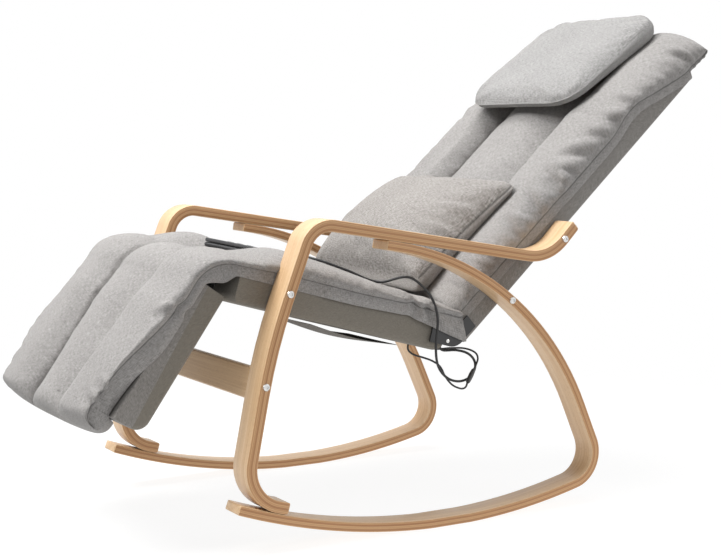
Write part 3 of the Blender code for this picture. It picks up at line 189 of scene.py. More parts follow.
def make_beech():
    """Beech: a tone from 0 to 1 that runs along the grain, and its small dark flecks."""
    tree, given, made = new_group("beech grain", "Grain", [], ["Tone", "Fleck"])
    fine, broad, dash = (
        noise(tree, vector_maths(tree, "MULTIPLY", given["Grain"], scale), 1.0, detail)
        for scale, detail in (
            ((5.0, 260.0, 260.0), 3.0),
            ((1.6, 34.0, 34.0), 2.0),
            ((150.0, 900.0, 900.0), 1.0),
        )
    )
    tone = maths(tree, "MULTIPLY_ADD", maths(tree, "SUBTRACT", fine, 0.5), 0.9, 0.5)
    tone = maths(tree, "MULTIPLY_ADD", maths(tree, "SUBTRACT", broad, 0.5), 1.1, tone)
    tree.links.new(tone, made["Tone"])
    fleck = maths(tree, "MULTIPLY", maths(tree, "SUBTRACT", dash, 0.6), 7.0)
    node = tree.nodes.new("ShaderNodeClamp")
    tree.links.new(fleck, node.inputs[0])
    tree.links.new(node.outputs[0], made["Fleck"])
    return tree


def make_speckle():
    """Fine unevenness of paint, plastic and metal, from 0 to 1."""
    tree, given, made = new_group("fine unevenness", "Place", ["Fineness"], ["Tone"])
    place = vector_maths(tree, "SCALE", given["Place"])
    feed(tree, place.node.inputs["Scale"], given["Fineness"])
    tree.links.new(noise(tree, place, 1.0, 4.0, 0.6), made["Tone"])
    return tree


LINEN = make_linen()
BEECH = make_beech()
SPECKLE = make_speckle()


def new_material(name):
    material = bpy.data.materials.new(name)
    material.use_nodes = True
    return material, material.node_tree, material.node_tree.nodes["Principled BSDF"]


def use_group(tree, group, **values):
    node = tree.nodes.new("ShaderNodeGroup")
    node.node_tree = group
    set_inputs(tree, node, values)
    return node.outputs


def own_attribute(tree, name):
    node = tree.nodes.new("ShaderNodeAttribute")
    node.attribute_name = name
    return node.outputs


def object_place(tree):
    return tree.nodes.new("ShaderNodeTexCoord").outputs["Object"]


def strip_grain(tree):
    return own_attribute(tree, "grain")["Vector"]


def board_grain(tree):
    """Grain that runs along Y, as on the board between the legs and the rails."""
    axes = axes_of(tree, object_place(tree))
    joined = tree.nodes.new("ShaderNodeCombineXYZ")
    for target, source in ((0, 1), (1, 2), (2, 0)):
        tree.links.new(axes[source], joined.inputs[target])
    return joined.outputs[0]


def bump(tree, shader, height, strength, distance):
    node = tree.nodes.new("ShaderNodeBump")
    set_inputs(tree, node, {"Strength": strength, "Distance": distance, "Height": height})
    tree.links.new(node.outputs[0], shader.inputs["Normal"])


# Grey that multiplies the cloth's colour on seams: painted shade of the sewn creases
SEAM_SHADE = (0.45, 0.45, 0.45, 1.0)


def fabric(name, shades, pitch, relief):
    """Woven cloth that follows the piece's own cloth coordinates, with painted shade along its seams and sewn
    channels.
    """
    material, tree, shader = new_material(name)
    weave = use_group(tree, LINEN, Cloth=own_attribute(tree, "cloth")["Vector"], Pitch=pitch)
    colour = ramp(tree, weave["Tone"], list(zip((0.12, 0.5, 0.9), shades)))
    # Painted shade: along seams and sewn channels the colour is multiplied by SEAM_SHADE
    seam = map_range(tree, own_attribute(tree, "seam")["Fac"], 0.55, 0.95).outputs[0]
    dark = blend_colour(tree, 1.0, colour, SEAM_SHADE, "MULTIPLY")
    finish = {"Roughness": 0.93, "Specular IOR Level": 0.2, "Sheen Weight": 0.12, "Sheen Roughness": 0.5}
    finish["Base Color"] = blend_colour(tree, seam, colour, dark)
    set_inputs(tree, shader, finish)
    bump(tree, shader, weave["Height"], relief, 0.0006)
    return material


FLECK = (0.40, 0.20, 0.09, 1.0)
GLUE_LINE = (0.13, 0.050, 0.018, 1.0)


def veneer(name, grain_of):
    """A sanded and lacquered face of beech."""
    material, tree, shader = new_material(name)
    wood = use_group(tree, BEECH, Grain=grain_of(tree))
    pale = [(0.2, (0.560, 0.345, 0.178)), (0.5, (0.665, 0.445, 0.248)), (0.8, (0.745, 0.535, 0.330))]
    colour = ramp(tree, wood["Tone"], pale)
    finish = {"Coat Weight": 0.18, "Coat Roughness": 0.3}
    finish["Base Color"] = blend_colour(tree, maths(tree, "MULTIPLY", wood["Fleck"], 0.5), colour, FLECK)
    finish["Roughness"] = maths(tree, "MULTIPLY_ADD", wood["Tone"], 0.12, 0.34)
    set_inputs(tree, shader, finish)
    bump(tree, shader, wood["Tone"], 0.08, 0.0005)
    return material


def ply_edge(name, ply):
    """The strip's sawn edge, where its layers show as lines along it."""
    material, tree, shader = new_material(name)
    grain = strip_grain(tree)
    wood = use_group(tree, BEECH, Grain=grain)
    layer = maths(tree, "DIVIDE", axes_of(tree, grain)[2], ply)
    number = maths(tree, "FLOOR", layer)
    chance = tree.nodes.new("ShaderNodeTexWhiteNoise")
    chance.noise_dimensions = "1D"
    tree.links.new(number, chance.inputs["W"])
    within = maths(tree, "ABSOLUTE", maths(tree, "SUBTRACT", maths(tree, "FRACT", layer), 0.5))
    glue = map_range(tree, within, 0.36, 0.49, "SMOOTHSTEP").outputs[0]
    share = maths(tree, "MULTIPLY", chance.outputs["Value"], 0.65)
    share = maths(tree, "MULTIPLY_ADD", wood["Tone"], 0.45, share)
    warm = [(0.1, (0.320, 0.140, 0.050)), (0.45, (0.465, 0.232, 0.094)), (0.9, (0.590, 0.345, 0.165))]
    colour = ramp(tree, share, warm)
    finish = {"Coat Weight": 0.12, "Coat Roughness": 0.35}
    finish["Base Color"] = blend_colour(tree, maths(tree, "MULTIPLY", glue, 0.6), colour, GLUE_LINE)
    finish["Roughness"] = maths(tree, "MULTIPLY_ADD", chance.outputs["Value"], 0.15, 0.42)
    set_inputs(tree, shader, finish)
    bump(tree, shader, glue, 0.12, 0.0004)
    return material


def plain(name, low, high, fineness, roughness, metallic=0.0, coat=0.0, relief=0.0):
    """Painted, moulded or metal surface with a little unevenness in colour and gloss."""
    material, tree, shader = new_material(name)
    tone = use_group(tree, SPECKLE, Place=object_place(tree), Fineness=fineness)["Tone"]
    finish = {"Metallic": metallic, "Coat Weight": coat, "Coat Roughness": 0.08}
    finish["Base Color"] = ramp(tree, tone, [(0.3, low), (0.7, high)])
    finish["Roughness"] = maths(tree, "MULTIPLY_ADD", tone, 0.2 * roughness, 0.9 * roughness)
    set_inputs(tree, shader, finish)
    if relief:
        bump(tree, shader, tone, relief, 0.0004)
    return material


PAD_LINEN = fabric(
    "pad linen", [(0.172, 0.164, 0.158), (0.300, 0.288, 0.279), (0.430, 0.417, 0.406)], 0.0015, 0.4
)
PILLOW_LINEN = fabric(
    "pillow linen", [(0.150, 0.136, 0.125), (0.302, 0.283, 0.267), (0.460, 0.441, 0.422)], 0.0021, 0.6
)
HEADREST_LINEN = fabric(
    "headrest linen", [(0.178, 0.174, 0.169), (0.312, 0.306, 0.300), (0.445, 0.438, 0.431)], 0.0019, 0.5
)
# The panels' side linen: a darker copy of the pads' linen, as painted shade from the pads above it
SHADED_SIDE_LINEN = fabric(
    "panel side linen", [(0.150, 0.140, 0.130), (0.245, 0.232, 0.217), (0.345, 0.328, 0.310)], 0.0015, 0.4
)
COVER_CLOTH = fabric(
    "cover cloth", [(0.165, 0.150, 0.126), (0.205, 0.187, 0.158), (0.245, 0.225, 0.194)], 0.0009, 0.2
)
POCKET_CLOTH = fabric(
    "pocket cloth", [(0.095, 0.089, 0.080), (0.130, 0.122, 0.110), (0.175, 0.165, 0.150)], 0.0012, 0.3
)
STRIP_FACE = veneer("beech veneer", strip_grain)
STRIP_EDGE = ply_edge("ply edge", 0.00275)
BOARD_WOOD = veneer("beech board", board_grain)
INNER_TIMBER = veneer("inner timber", board_grain)
BRIGHT_STEEL = plain("bright steel", (0.62, 0.62, 0.61), (0.74, 0.74, 0.73), 900.0, 0.24, 1.0)
BLACK_STEEL = plain("black steel", (0.012, 0.012, 0.013), (0.022, 0.022, 0.023), 700.0, 0.42, 0.0, 0.2, 0.1)
MOTOR_CAN = plain("motor can", (0.42, 0.42, 0.41), (0.52, 0.52, 0.51), 300.0, 0.35, 1.0)
BLACK_RUBBER = plain("black rubber", (0.010, 0.010, 0.011), (0.018, 0.018, 0.019), 800.0, 0.5, 0.0, 0.0, 0.1)
BLACK_PLASTIC = plain("black plastic", (0.012, 0.012, 0.013), (0.020, 0.020, 0.021), 500.0, 0.32, 0.0, 0.1)
GLOSS_PLASTIC = plain("gloss plastic", (0.016, 0.016, 0.018), (0.024, 0.024, 0.026), 60.0, 0.09, 0.0, 1.0)
BUTTON_PLASTIC = plain("button plastic", (0.10, 0.10, 0.11), (0.14, 0.14, 0.15), 600.0, 0.4)
BRASS = plain("brass", (0.60, 0.42, 0.16), (0.70, 0.52, 0.24), 500.0, 0.28, 1.0)

# Helpers for new pieces


def add_object(name, shape, materials, body):
    mesh = bpy.data.meshes.new(name)
    bmesh.ops.recalc_face_normals(shape, faces=shape.faces)
    shape.to_mesh(mesh)
    shape.free()
    for material in materials:
        mesh.materials.append(material)
    obj = bpy.data.objects.new(name, mesh)
    scene.collection.objects.link(obj)
    if body:
        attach(obj, body)
    return obj


def smooth(obj, degrees):
    """Shades a piece smooth, with edges sharper than this angle left crisp."""
    obj.data.shade_smooth()
    obj.data.set_sharp_from_angle(angle=math.radians(degrees))


def read_points(obj):
    points = np.empty(len(obj.data.vertices) * 3)
    obj.data.vertices.foreach_get("co", points)
    return points.reshape(-1, 3)


def write_points(obj, points):
    obj.data.vertices.foreach_set("co", points.astype(np.float32).ravel())
    obj.data.update()


def numbers(obj, name):
    """A point attribute's values."""
    data = obj.data.attributes[name].data
    if obj.data.attributes[name].data_type == "FLOAT_VECTOR":
        values = np.empty(len(data) * 3)
        data.foreach_get("vector", values)
        return values.reshape(-1, 3)
    values = np.empty(len(data))
    data.foreach_get("value", values)
    return values


def push_out(obj, amount):
    """Moves each point so far along its normal."""
    normals = np.empty(len(obj.data.vertices) * 3)
    obj.data.vertices.foreach_get("normal", normals)
    write_points(obj, read_points(obj) + normals.reshape(-1, 3) * amount[:, None])


def refine(obj):
    """Makes the surface, subdivided once, the piece's own mesh."""
    modifier = obj.modifiers.new("finer", "SUBSURF")
    modifier.levels = 1
    modifier.render_levels = 1
    bpy.context.view_layer.update()
    graph = bpy.context.evaluated_depsgraph_get()
    mesh = bpy.data.meshes.new_from_object(obj.evaluated_get(graph))
    obj.modifiers.clear()
    obj.data = mesh
    mesh.shade_smooth()


CLOTH_SETTINGS = {
    "quality": 6,
    "mass": 0.25,
    "tension_stiffness": 20.0,
    "compression_stiffness": 20.0,
    "shear_stiffness": 8.0,
    "bending_stiffness": 0.6,
    "tension_damping": 8.0,
    "compression_damping": 8.0,
    "shear_damping": 8.0,
    "air_damping": 2.0,
    "vertex_group_mass": "held",
    "pin_stiffness": 1.0,
    "use_pressure": True,
    "uniform_pressure_force": 2.5,
}
CLOTH_STEPS = 20


def puff(obj, slack, cap):
    """Lets the cloth settle under its filling's pressure, held at its seams, and keeps it near its cut."""
    held = numbers(obj, "held")
    rest = read_points(obj)
    group = obj.vertex_groups.new(name="held")
    for weight in np.unique(held):
        group.add(np.flatnonzero(held == weight).tolist(), float(weight), "REPLACE")
    cloth = obj.modifiers.new("cloth", "CLOTH")
    for label, value in CLOTH_SETTINGS.items():
        setattr(cloth.settings, label, value)
    cloth.settings.shrink_min = -slack
    cloth.settings.effector_weights.gravity = 0.0
    for number in range(1, CLOTH_STEPS + 1):
        scene.frame_set(number)
    graph = bpy.context.evaluated_depsgraph_get()
    mesh = obj.evaluated_get(graph).to_mesh()
    points = np.empty(len(mesh.vertices) * 3)
    mesh.vertices.foreach_get("co", points)
    obj.evaluated_get(graph).to_mesh_clear()
    obj.modifiers.clear()
    obj.vertex_groups.clear()
    scene.frame_set(1)
    move = points.reshape(-1, 3) - rest
    reach = np.linalg.norm(move, axis=1)
    kept = cap * np.tanh(reach / cap) / np.maximum(reach, 1e-9)
    write_points(obj, rest + move * kept[:, None])


def eased(share):
    share = np.clip(share, 0.0, 1.0)
    return share * share * (3 - 2 * share)


def grid_block(cells):
    """A box cut into so many cells along its length, width and height."""
    shape = bmesh.new()
    bmesh.ops.create_cube(shape, size=1.0)
    for axis in range(3):
        along = []
        for edge in shape.edges:
            run = edge.verts[1].co - edge.verts[0].co
            if abs(run[axis]) > 0.5 * run.length:
                along.append(edge)
        bmesh.ops.subdivide_edges(shape, edges=along, cuts=cells[axis] - 1, use_grid_fill=True)
    return shape


def cell_of(vertex, cells):
    """The numbers of a point of a block's grid along its length, width and height."""
    return tuple(round((vertex.co[axis] + 0.5) * cells[axis]) for axis in range(3))


# Bent strips of the side frames: the end face is drawn along the bend, ring by ring

CLEARANCE = 0.0003
ARM_THICKNESS = 0.022
ROCKER_THICKNESS = 0.018
STRIP_WIDTH = 0.055
STRIP_MIDDLE = 0.300
STRIP_CORNER = 0.0016
RUNNER_RADIUS = 1.32
RUNNER_FLAT = 0.045
FOOT_LENGTH = 0.092
ARM_END_LENGTH = 0.0935
FOOT_BEND, KNEE_BEND, ARM_FRONT_BEND, ARM_END_BEND = 0.074, 1.0, 0.052, 0.10
REAR_BEND = 0.07
REAR_STRAIGHT = 0.083
LAP_LENGTH = 0.024
BEND_STEP = math.radians(2.5)
FRONT_STEPS, REAR_STEPS = 24, 16


def direction(heading):
    return Vector((math.cos(heading), math.sin(heading)))


def left_of(heading):
    return Vector((-math.sin(heading), math.cos(heading)))


def meeting_point(first, first_heading, second, second_heading):
    normal = left_of(second_heading)
    reach = (second - first).dot(normal) / direction(first_heading).dot(normal)
    return first + reach * direction(first_heading)


def arc(start, heading, radius, turn):
    side = 1.0 if turn > 0 else -1.0
    centre = start + side * radius * left_of(heading)
    count = max(2, math.ceil(abs(turn) / BEND_STEP))
    walk = []
    for index in range(1, count + 1):
        now = heading + turn * index / count
        walk.append((centre - side * radius * left_of(now), now))
    return walk


def rounded_path(corners, radii):
    headings = []
    for first, second in zip(corners, corners[1:]):
        run = second - first
        headings.append(math.atan2(run.y, run.x))
    walk = [(corners[0], headings[0])]
    for index, radius in enumerate(radii):
        turn = (headings[index + 1] - headings[index] + math.pi) % (2 * math.pi) - math.pi
        tangent = radius * math.tan(abs(turn) / 2)
        start = corners[index + 1] - tangent * direction(headings[index])
        walk.append((start, headings[index]))
        walk.extend(arc(start, headings[index], radius, turn))
    walk.append((corners[-1], headings[-1]))
    return walk


arm_slope = math.radians(9.4)
arm_end_rise = math.radians(45.0)
upper_leg_heading = math.radians(68.8)
lower_leg_heading = math.radians(78.7)
leg_knee = Vector((-0.3856, 0.3715))
foot_angle = math.radians(16.0)
arm_point = Vector((0.0, 0.544))
arm_front = meeting_point(leg_knee, upper_leg_heading, arm_point, -arm_slope)
arm_turn = meeting_point(Vector((0.2305, 0.0)), math.pi / 2, arm_point, -arm_slope)
arm_end = arm_turn + ARM_END_LENGTH * direction(arm_end_rise)
foot_radius = RUNNER_RADIUS - ROCKER_THICKNESS - CLEARANCE - ARM_THICKNESS / 2
foot_ahead = -foot_radius * math.sin(foot_angle)
foot_rest = Vector((foot_ahead, RUNNER_RADIUS - foot_radius * math.cos(foot_angle)))
foot_corner = meeting_point(leg_knee, lower_leg_heading, foot_rest, math.pi - foot_angle)
foot_end = foot_corner - FOOT_LENGTH * direction(math.pi - foot_angle)
arm_walk = rounded_path(
    [foot_end, foot_corner, leg_knee, arm_front, arm_turn, arm_end],
    [FOOT_BEND, KNEE_BEND, ARM_FRONT_BEND, ARM_END_BEND],
)

flat_half = math.asin(RUNNER_FLAT / RUNNER_RADIUS)
runner_rise = RUNNER_RADIUS * math.cos(flat_half)
front_angle = math.radians(20.2)
rear_angle = math.radians(13.6)
runner_angles = []
for index in range(FRONT_STEPS + 1):
    runner_angles.append(-front_angle + (front_angle - flat_half) * index / FRONT_STEPS)
for index in range(REAR_STEPS + 1):
    runner_angles.append(flat_half + (rear_angle - flat_half) * index / REAR_STEPS)
rocker_walk = []
for angle in runner_angles:
    spot = Vector((RUNNER_RADIUS * math.sin(angle), runner_rise - RUNNER_RADIUS * math.cos(angle)))
    rocker_walk.append((spot, angle))
rear_heading = math.radians(114.0)
rocker_walk += arc(rocker_walk[-1][0], rear_angle, REAR_BEND, rear_heading - rear_angle)
leg_start = rocker_walk[-1][0]
under_arm = arm_point - (ARM_THICKNESS / 2 + CLEARANCE) * left_of(-arm_slope)
leg_top = meeting_point(leg_start, rear_heading, under_arm, math.pi - arm_slope)
upper_turn = math.pi - arm_slope - rear_heading
upper_start = leg_start + REAR_STRAIGHT * direction(rear_heading)
upper_radius = (leg_top - upper_start).length / math.tan(upper_turn / 2)
rocker_walk += [(upper_start, rear_heading)]
rocker_walk += arc(upper_start, rear_heading, upper_radius, upper_turn)
lap_heading = math.pi - arm_slope
rocker_walk += [(rocker_walk[-1][0] + LAP_LENGTH * direction(lap_heading), lap_heading)]


def section_frame(spot, heading, aside):
    """A frame across a strip: X through its thickness, Y along its width, Z along the walk."""
    out = left_of(heading)
    run = direction(heading)
    rows = [
        (out.x, 0.0, run.x, spot.x),
        (0.0, 1.0, 0.0, aside),
        (out.y, 0.0, run.y, spot.y),
        (0.0, 0.0, 0.0, 1.0),
    ]
    return Matrix(rows)


def end_rings(end, heading, inwards, rounding):
    """Rings that round a strip's end, from its end face inwards: spot, heading and inset of each."""
    rings = []
    for degrees in (0.0, 30.0, 60.0, 90.0):
        turn = math.radians(degrees)
        spot = end + inwards * rounding * (1 - math.cos(turn)) * direction(heading)
        rings.append((spot, heading, rounding * (1 - math.sin(turn))))
    return rings


def bent_strip(name, walk, thickness, shift, aside, rounding, node):
    """A ply strip drawn along a walk; shift moves its middle layer to the walk's left."""
    rings = end_rings(*walk[0], 1, rounding)
    rings += [(spot, heading, 0.0) for spot, heading in walk[1:-1]]
    rings += reversed(end_rings(*walk[-1], -1, rounding))
    shape = bmesh.new()
    grain = shape.verts.layers.float_vector.new("grain")
    bmesh.ops.create_grid(shape, x_segments=1, y_segments=1, size=0.5)
    bmesh.ops.scale(shape, vec=(thickness, STRIP_WIDTH, 1.0), verts=shape.verts)
    corners = shape.verts[:]
    bmesh.ops.bevel(
        shape, geom=corners, offset=STRIP_CORNER, segments=3, profile=0.5, affect="VERTICES", material=-1
    )
    for vertex in shape.verts:
        vertex[grain] = (0.0, vertex.co.y, vertex.co.x + thickness / 2)
    places = []
    for spot, heading, inset in rings:
        centre = spot + shift * left_of(heading)
        size = Matrix.Diagonal((1 - 2 * inset / thickness, 1 - 2 * inset / STRIP_WIDTH, 1.0, 1.0))
        places.append(section_frame(centre, heading, aside) @ size)
    shape.faces.ensure_lookup_table()
    face = shape.faces[0]
    bmesh.ops.transform(shape, matrix=places[0], verts=shape.verts)
    travelled = 0.0
    for before, now in zip(places, places[1:]):
        grown = bmesh.ops.extrude_face_region(shape, geom=[face])["geom"]
        verts = [item for item in grown if isinstance(item, bmesh.types.BMVert)]
        face = [item for item in grown if isinstance(item, bmesh.types.BMFace)][0]
        bmesh.ops.transform(shape, matrix=now @ before.inverted(), verts=verts)
        travelled += (now.translation - before.translation).length
        for vertex in verts:
            vertex[grain] = (travelled, vertex[grain].y, vertex[grain].z)
    shape.normal_update()
    for face in shape.faces:
        face.material_index = 1 if abs(face.normal.y) > 0.75 else 0
    obj = add_object(name, shape, [STRIP_FACE, STRIP_EDGE], "chair_frame")
    smooth(obj, 32.0)
    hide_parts(node)


SIDES = (("left", -1), ("right", 1))
for side_name, side in SIDES:
    for name, walk, thickness, shift, rounding, node in (
        ("_arm_and_leg", arm_walk, ARM_THICKNESS, 0.0, 0.006, "_arm_leg"),
        ("_runner_and_rear_leg", rocker_walk, ROCKER_THICKNESS, ROCKER_THICKNESS / 2, 0.003, "_rocker"),
    ):
        aside = side * STRIP_MIDDLE
        bent_strip(side_name + name, walk, thickness, shift, aside, rounding, side_name + node)

# Quilted pads: three long swells parted by two sewn channels, with a strip sewn round the sides

OUTER, INNER, MIDDLE = 12, 9, 12
HALF_TOP = OUTER + INNER + MIDDLE
TOP_CELLS = 2 * HALF_TOP
SIDE_CELLS = 6
SIDE_CELL_HEIGHT = 0.005
LEAN = math.radians(112.0)


def top_point(cut, count):
    """(aside, height) on the upper side of a pad's section, so many cells out from its middle."""
    if count <= MIDDLE:
        turn = math.pi / 2 * count / MIDDLE
        aside = cut["channel"] * math.sin(turn)
        height = cut["sewn"] + (cut["middle"] - cut["sewn"]) * max(0.0, math.cos(turn)) ** 1.35
    elif count <= MIDDLE + INNER:
        turn = math.pi / 2 * (count - MIDDLE) / INNER
        aside = cut["channel"] + (cut["crest_at"] - cut["channel"]) * (1 - math.cos(turn))
        height = cut["sewn"] + (cut["crest"] - cut["sewn"]) * math.sin(turn) ** 0.95
    else:
        turn = math.pi / 2 - LEAN * (count - MIDDLE - INNER) / OUTER
        lean = math.sin(LEAN - math.pi / 2)
        centre = (cut["seam"] + lean * cut["crest"]) / (1 + lean)
        width = (cut["seam_at"] - cut["crest_at"]) / math.cos(LEAN - math.pi / 2)
        aside = cut["crest_at"] + width * math.cos(turn)
        height = centre + (cut["crest"] - centre) * math.sin(turn)
    return aside, height


def under_point(cut, count):
    """(aside, height) on the underside, which lies on the panel and turns down inside the hem."""
    if count == HALF_TOP - 1:
        return cut["hem_at"] - 0.0010, cut["hem"] + 0.0006
    if count == HALF_TOP - 2:
        return cut["hem_at"] - 0.0012, max(cut["low"], cut["hem"]) + 0.0008
    share = count / (HALF_TOP - 3)
    low = cut["low"] + max(0.0, cut["hem"] - cut["low"]) * ease((share - 0.72) / 0.28)
    return share * (cut["hem_at"] - 0.006), low + 0.0008


def section_point(cut, column, level):
    """(lean, aside, height) of a point on a pad's section, from its cut: the sizes of that section.

    far raises the crest on the chair's right side, flare leans what hangs below the panel's top,
    and corner leans the sides.
    """
    count = abs(column - HALF_TOP)
    if column > HALF_TOP:
        cut = dict(cut, crest=cut["crest"] + cut["far"])
    share = level / SIDE_CELLS
    top = top_point(cut, count)
    if level == SIDE_CELLS:
        aside, height = top
    elif count == HALF_TOP:
        aside = cut["hem_at"] + share * (cut["seam_at"] - cut["hem_at"])
        aside += cut["bulge"] * math.sin(math.pi * share)
        height = cut["hem"] + share * (cut["seam"] - cut["hem"])
    else:
        under = under_point(cut, count)
        aside = under[0] + share * (top[0] - under[0])
        height = under[1] + share * (top[1] - under[1])
    side = 1.0 if column >= HALF_TOP else -1.0
    lean = cut["lean"] * max(0.0, height) + cut["flare"] * max(0.0, -height)
    return lean + cut["corner"] * abs(aside / cut["hem_at"]) ** 3, side * aside, height


def running_lengths(points):
    """How far along the way through the points each one lies."""
    lengths = [0.0]
    for first, second in zip(points, points[1:]):
        lengths.append(lengths[-1] + math.dist(first, second))
    return lengths


def soft_block(cells):
    """A block with the layers of a soft piece: cloth coordinates, seams, what may gather, what is held."""
    shape = grid_block(cells)
    cloth = shape.verts.layers.float_vector.new("cloth")
    seam, upper, held = [shape.verts.layers.float.new(label) for label in ("seam", "upper", "held")]
    return shape, cloth, seam, upper, held


def quilted_pad(name, rows):
    """A pad from its rows: each is a frame whose Y runs across and Z out, and a cut."""
    cells = (len(rows) - 1, TOP_CELLS, SIDE_CELLS)
    shape, cloth, seam, upper, held = soft_block(cells)
    across = running_lengths([top_point(rows[len(rows) // 3][1], count) for count in range(HALF_TOP + 1)])
    along = running_lengths([place @ Vector((0, 0, 0.7 * cut["crest"])) for place, cut in rows])
    for vertex in shape.verts:
        row, column, level = cell_of(vertex, cells)
        place, cut = rows[row]
        vertex.co = place @ Vector(section_point(cut, column, level))
        count = abs(column - HALF_TOP)
        side = 1.0 if column >= HALF_TOP else -1.0
        strip = (SIDE_CELLS - level) * SIDE_CELL_HEIGHT if count == HALF_TOP else 0.0
        vertex[cloth] = (side * (across[count] + strip), along[row], 0.0)
        top = level == SIDE_CELLS
        sewn = top and count in (MIDDLE, HALF_TOP)
        # Seams and channels are marked here for the fabric's painted crease shade
        vertex[seam] = 1.0 if sewn else 0.0
        strip_loose = cut["loose"] if count == HALF_TOP and level > 0 else 0.0
        vertex[upper] = 1.0 if top and count < HALF_TOP else strip_loose
        vertex[held] = 0.0 if top and not sewn and 0 < row < cells[0] else 1.0
    obj = add_object(name, shape, [PAD_LINEN], None)
    return obj, across, along


def waves(place, seed, longest):
    """An uneven run of small waves along a seam, between about -1 and 1."""
    chance = np.random.default_rng(seed)
    total = np.zeros_like(place)
    for share in (1.0, 0.71, 0.53, 0.37, 0.29):
        shift = chance.uniform(0, 2 * math.pi)
        total += chance.uniform(0.6, 1.0) * np.sin(2 * math.pi * place / (longest * share) + shift)
    return total / 2.4


def pucker(obj, seams, height, reach, longest, seed):
    """Small gathers of the cloth along its seams, fading away from them."""
    cloth = numbers(obj, "cloth")
    amount = np.zeros(len(cloth))
    for number, seam in enumerate(seams):
        away = np.abs(cloth[:, 0] - seam)
        slant = cloth[:, 1] + 0.35 * away
        near = (1 - np.exp(-((away / (0.18 * reach)) ** 2))) * np.exp(-((away / reach) ** 2))
        amount += waves(slant, seed + number, longest) * near
    push_out(obj, amount * (height * numbers(obj, "upper")))


def fold(obj, start, end, width, depth):
    """One crease in the cloth with a soft roll beside it, between two places of the cloth (across, along)."""
    cloth = numbers(obj, "cloth")[:, :2]
    run = np.subtract(end, start)
    share = ((cloth - start) @ run) / (run @ run)
    aside = ((cloth - start) @ np.array((-run[1], run[0]))) / np.linalg.norm(run)
    taper = np.where((share > 0) & (share < 1), np.sin(math.pi * np.clip(share, 0, 1) ** 0.7), 0.0)
    crease = np.exp(-((aside / width) ** 2))
    roll = np.exp(-(((aside - 2.0 * width) / (1.5 * width)) ** 2))
    push_out(obj, depth * taper * (0.8 * roll - crease) * numbers(obj, "upper"))


def draw_in(obj, seam, width, depth):
    """Draws the cloth in along a sewn channel, less and less towards its two ends."""
    cloth = numbers(obj, "cloth")
    away = cloth[:, 0] - seam
    along = cloth[:, 1]
    ends = np.clip(np.minimum(along - 0.02, along.max() - 0.07 - along) / 0.03, 0.0, 1.0)
    push_out(obj, -depth * np.exp(-((away / width) ** 2)) * ends * (numbers(obj, "upper") > 0.9))


def shifted(place, along, up):
    """A frame moved along its own X and Z."""
    return place @ Matrix.Translation((along, 0.0, up))


def ease(share):
    return float(eased(share))


# The panels' faces, and the pads' ends and rolls beyond them, each in its own frame
SEAT_FACE, LEGREST_FACE, BACK_FACE = 0.022, 0.064, 0.036
SEAT_FRONT, SEAT_REAR = -0.0838, 0.3805
LEGREST_END, FOOT_START = 0.2853, 0.2856
BACK_START, BACK_END = -0.282, 0.500
REAR_ROLL, FOOT_ROLL, TOP_ROLL = 0.007, 0.042, 0.10
KNEE_LEVEL, KNEE_RISE = 0.055, 0.009
CHANNEL = 0.0955
# What a cut has where it says nothing else
LEVEL_CUT = dict.fromkeys(("far", "flare", "corner", "low", "lean"), 0.0)


def seat_cut(along):
    """A section of the seat's pad, so far back from the seat's front bolt."""
    rise = ease((along - SEAT_FRONT) / 0.12)
    full = 0.034 + rise * 0.028 - 0.018 * ease((along - 0.036) / 0.322)
    free = ease((along - 0.080) / 0.03)
    tuck = ease((along - 0.27) / 0.10)
    back = ease((along - 0.15) / 0.14)
    pinch = math.exp(-(((along - 0.290) / 0.009) ** 2))
    end = ease((along - 0.335) / 0.04)
    return dict(
        LEVEL_CUT,
        far=0.013 * math.exp(-(((along + 0.022) / 0.062) ** 2)),
        flare=0.85 * end,
        corner=0.030 * end,
        loose=ease((along - 0.265) / 0.03),
        channel=CHANNEL,
        sewn=0.20 * full,
        middle=0.92 * full - 0.009 * rise,
        crest=full,
        crest_at=0.158,
        seam=0.0085 + 0.004 * rise + 0.003 * back + 0.005 * pinch,
        seam_at=0.2698 + 0.0040 * free - 0.003 * pinch + 0.003 * tuck,
        hem=-0.0125 + 0.005 * back + 0.003 * pinch - 0.010 * tuck - 0.012 * end,
        hem_at=0.2716 + 0.0028 * free - 0.001 * pinch + 0.005 * tuck,
        lean=-0.51 * tuck,
        bulge=0.0003 + 0.003 * free,
    )


def legrest_cut(down):
    """A section of the legrest's pad, so far down from the hinge."""
    rise = ease(down / 0.09)
    full = 0.034 + rise * 0.016
    half = 0.2545 - 0.0245 * ease((down - 0.15) / 0.135)
    lift = ease((down - 0.08) / 0.20)
    pinch = math.exp(-(((down - 0.062) / 0.008) ** 2))
    return dict(
        LEVEL_CUT,
        far=0.006 * (1 - ease(down / 0.06)),
        loose=0.8 * ease((down - 0.03) / 0.03),
        channel=CHANNEL - 0.005 * ease(down / 0.285),
        sewn=0.14 * full + 0.003 * lift,
        middle=0.92 * full + 0.001 * lift,
        crest=full + 0.009 * lift,
        crest_at=0.155 - 0.010 * lift,
        seam=0.003 + 0.037 * ease((down - 0.03) / 0.20) + 0.005 * pinch,
        seam_at=half - 0.002 - 0.004 * pinch,
        hem=-0.014 + 0.017 * ease((down - 0.12) / 0.10) + 0.006 * pinch,
        hem_at=half - 0.0012 * pinch,
        bulge=0.003,
    )


def knee_cut(share):
    """From the seat, at 0, to the legrest, at 1."""
    first = seat_cut(SEAT_FRONT)
    last = legrest_cut(0.0)
    made = {key: first[key] + share * (last[key] - first[key]) for key in first}
    made["hem"] -= 0.016 * math.sin(math.pi * share)
    return made


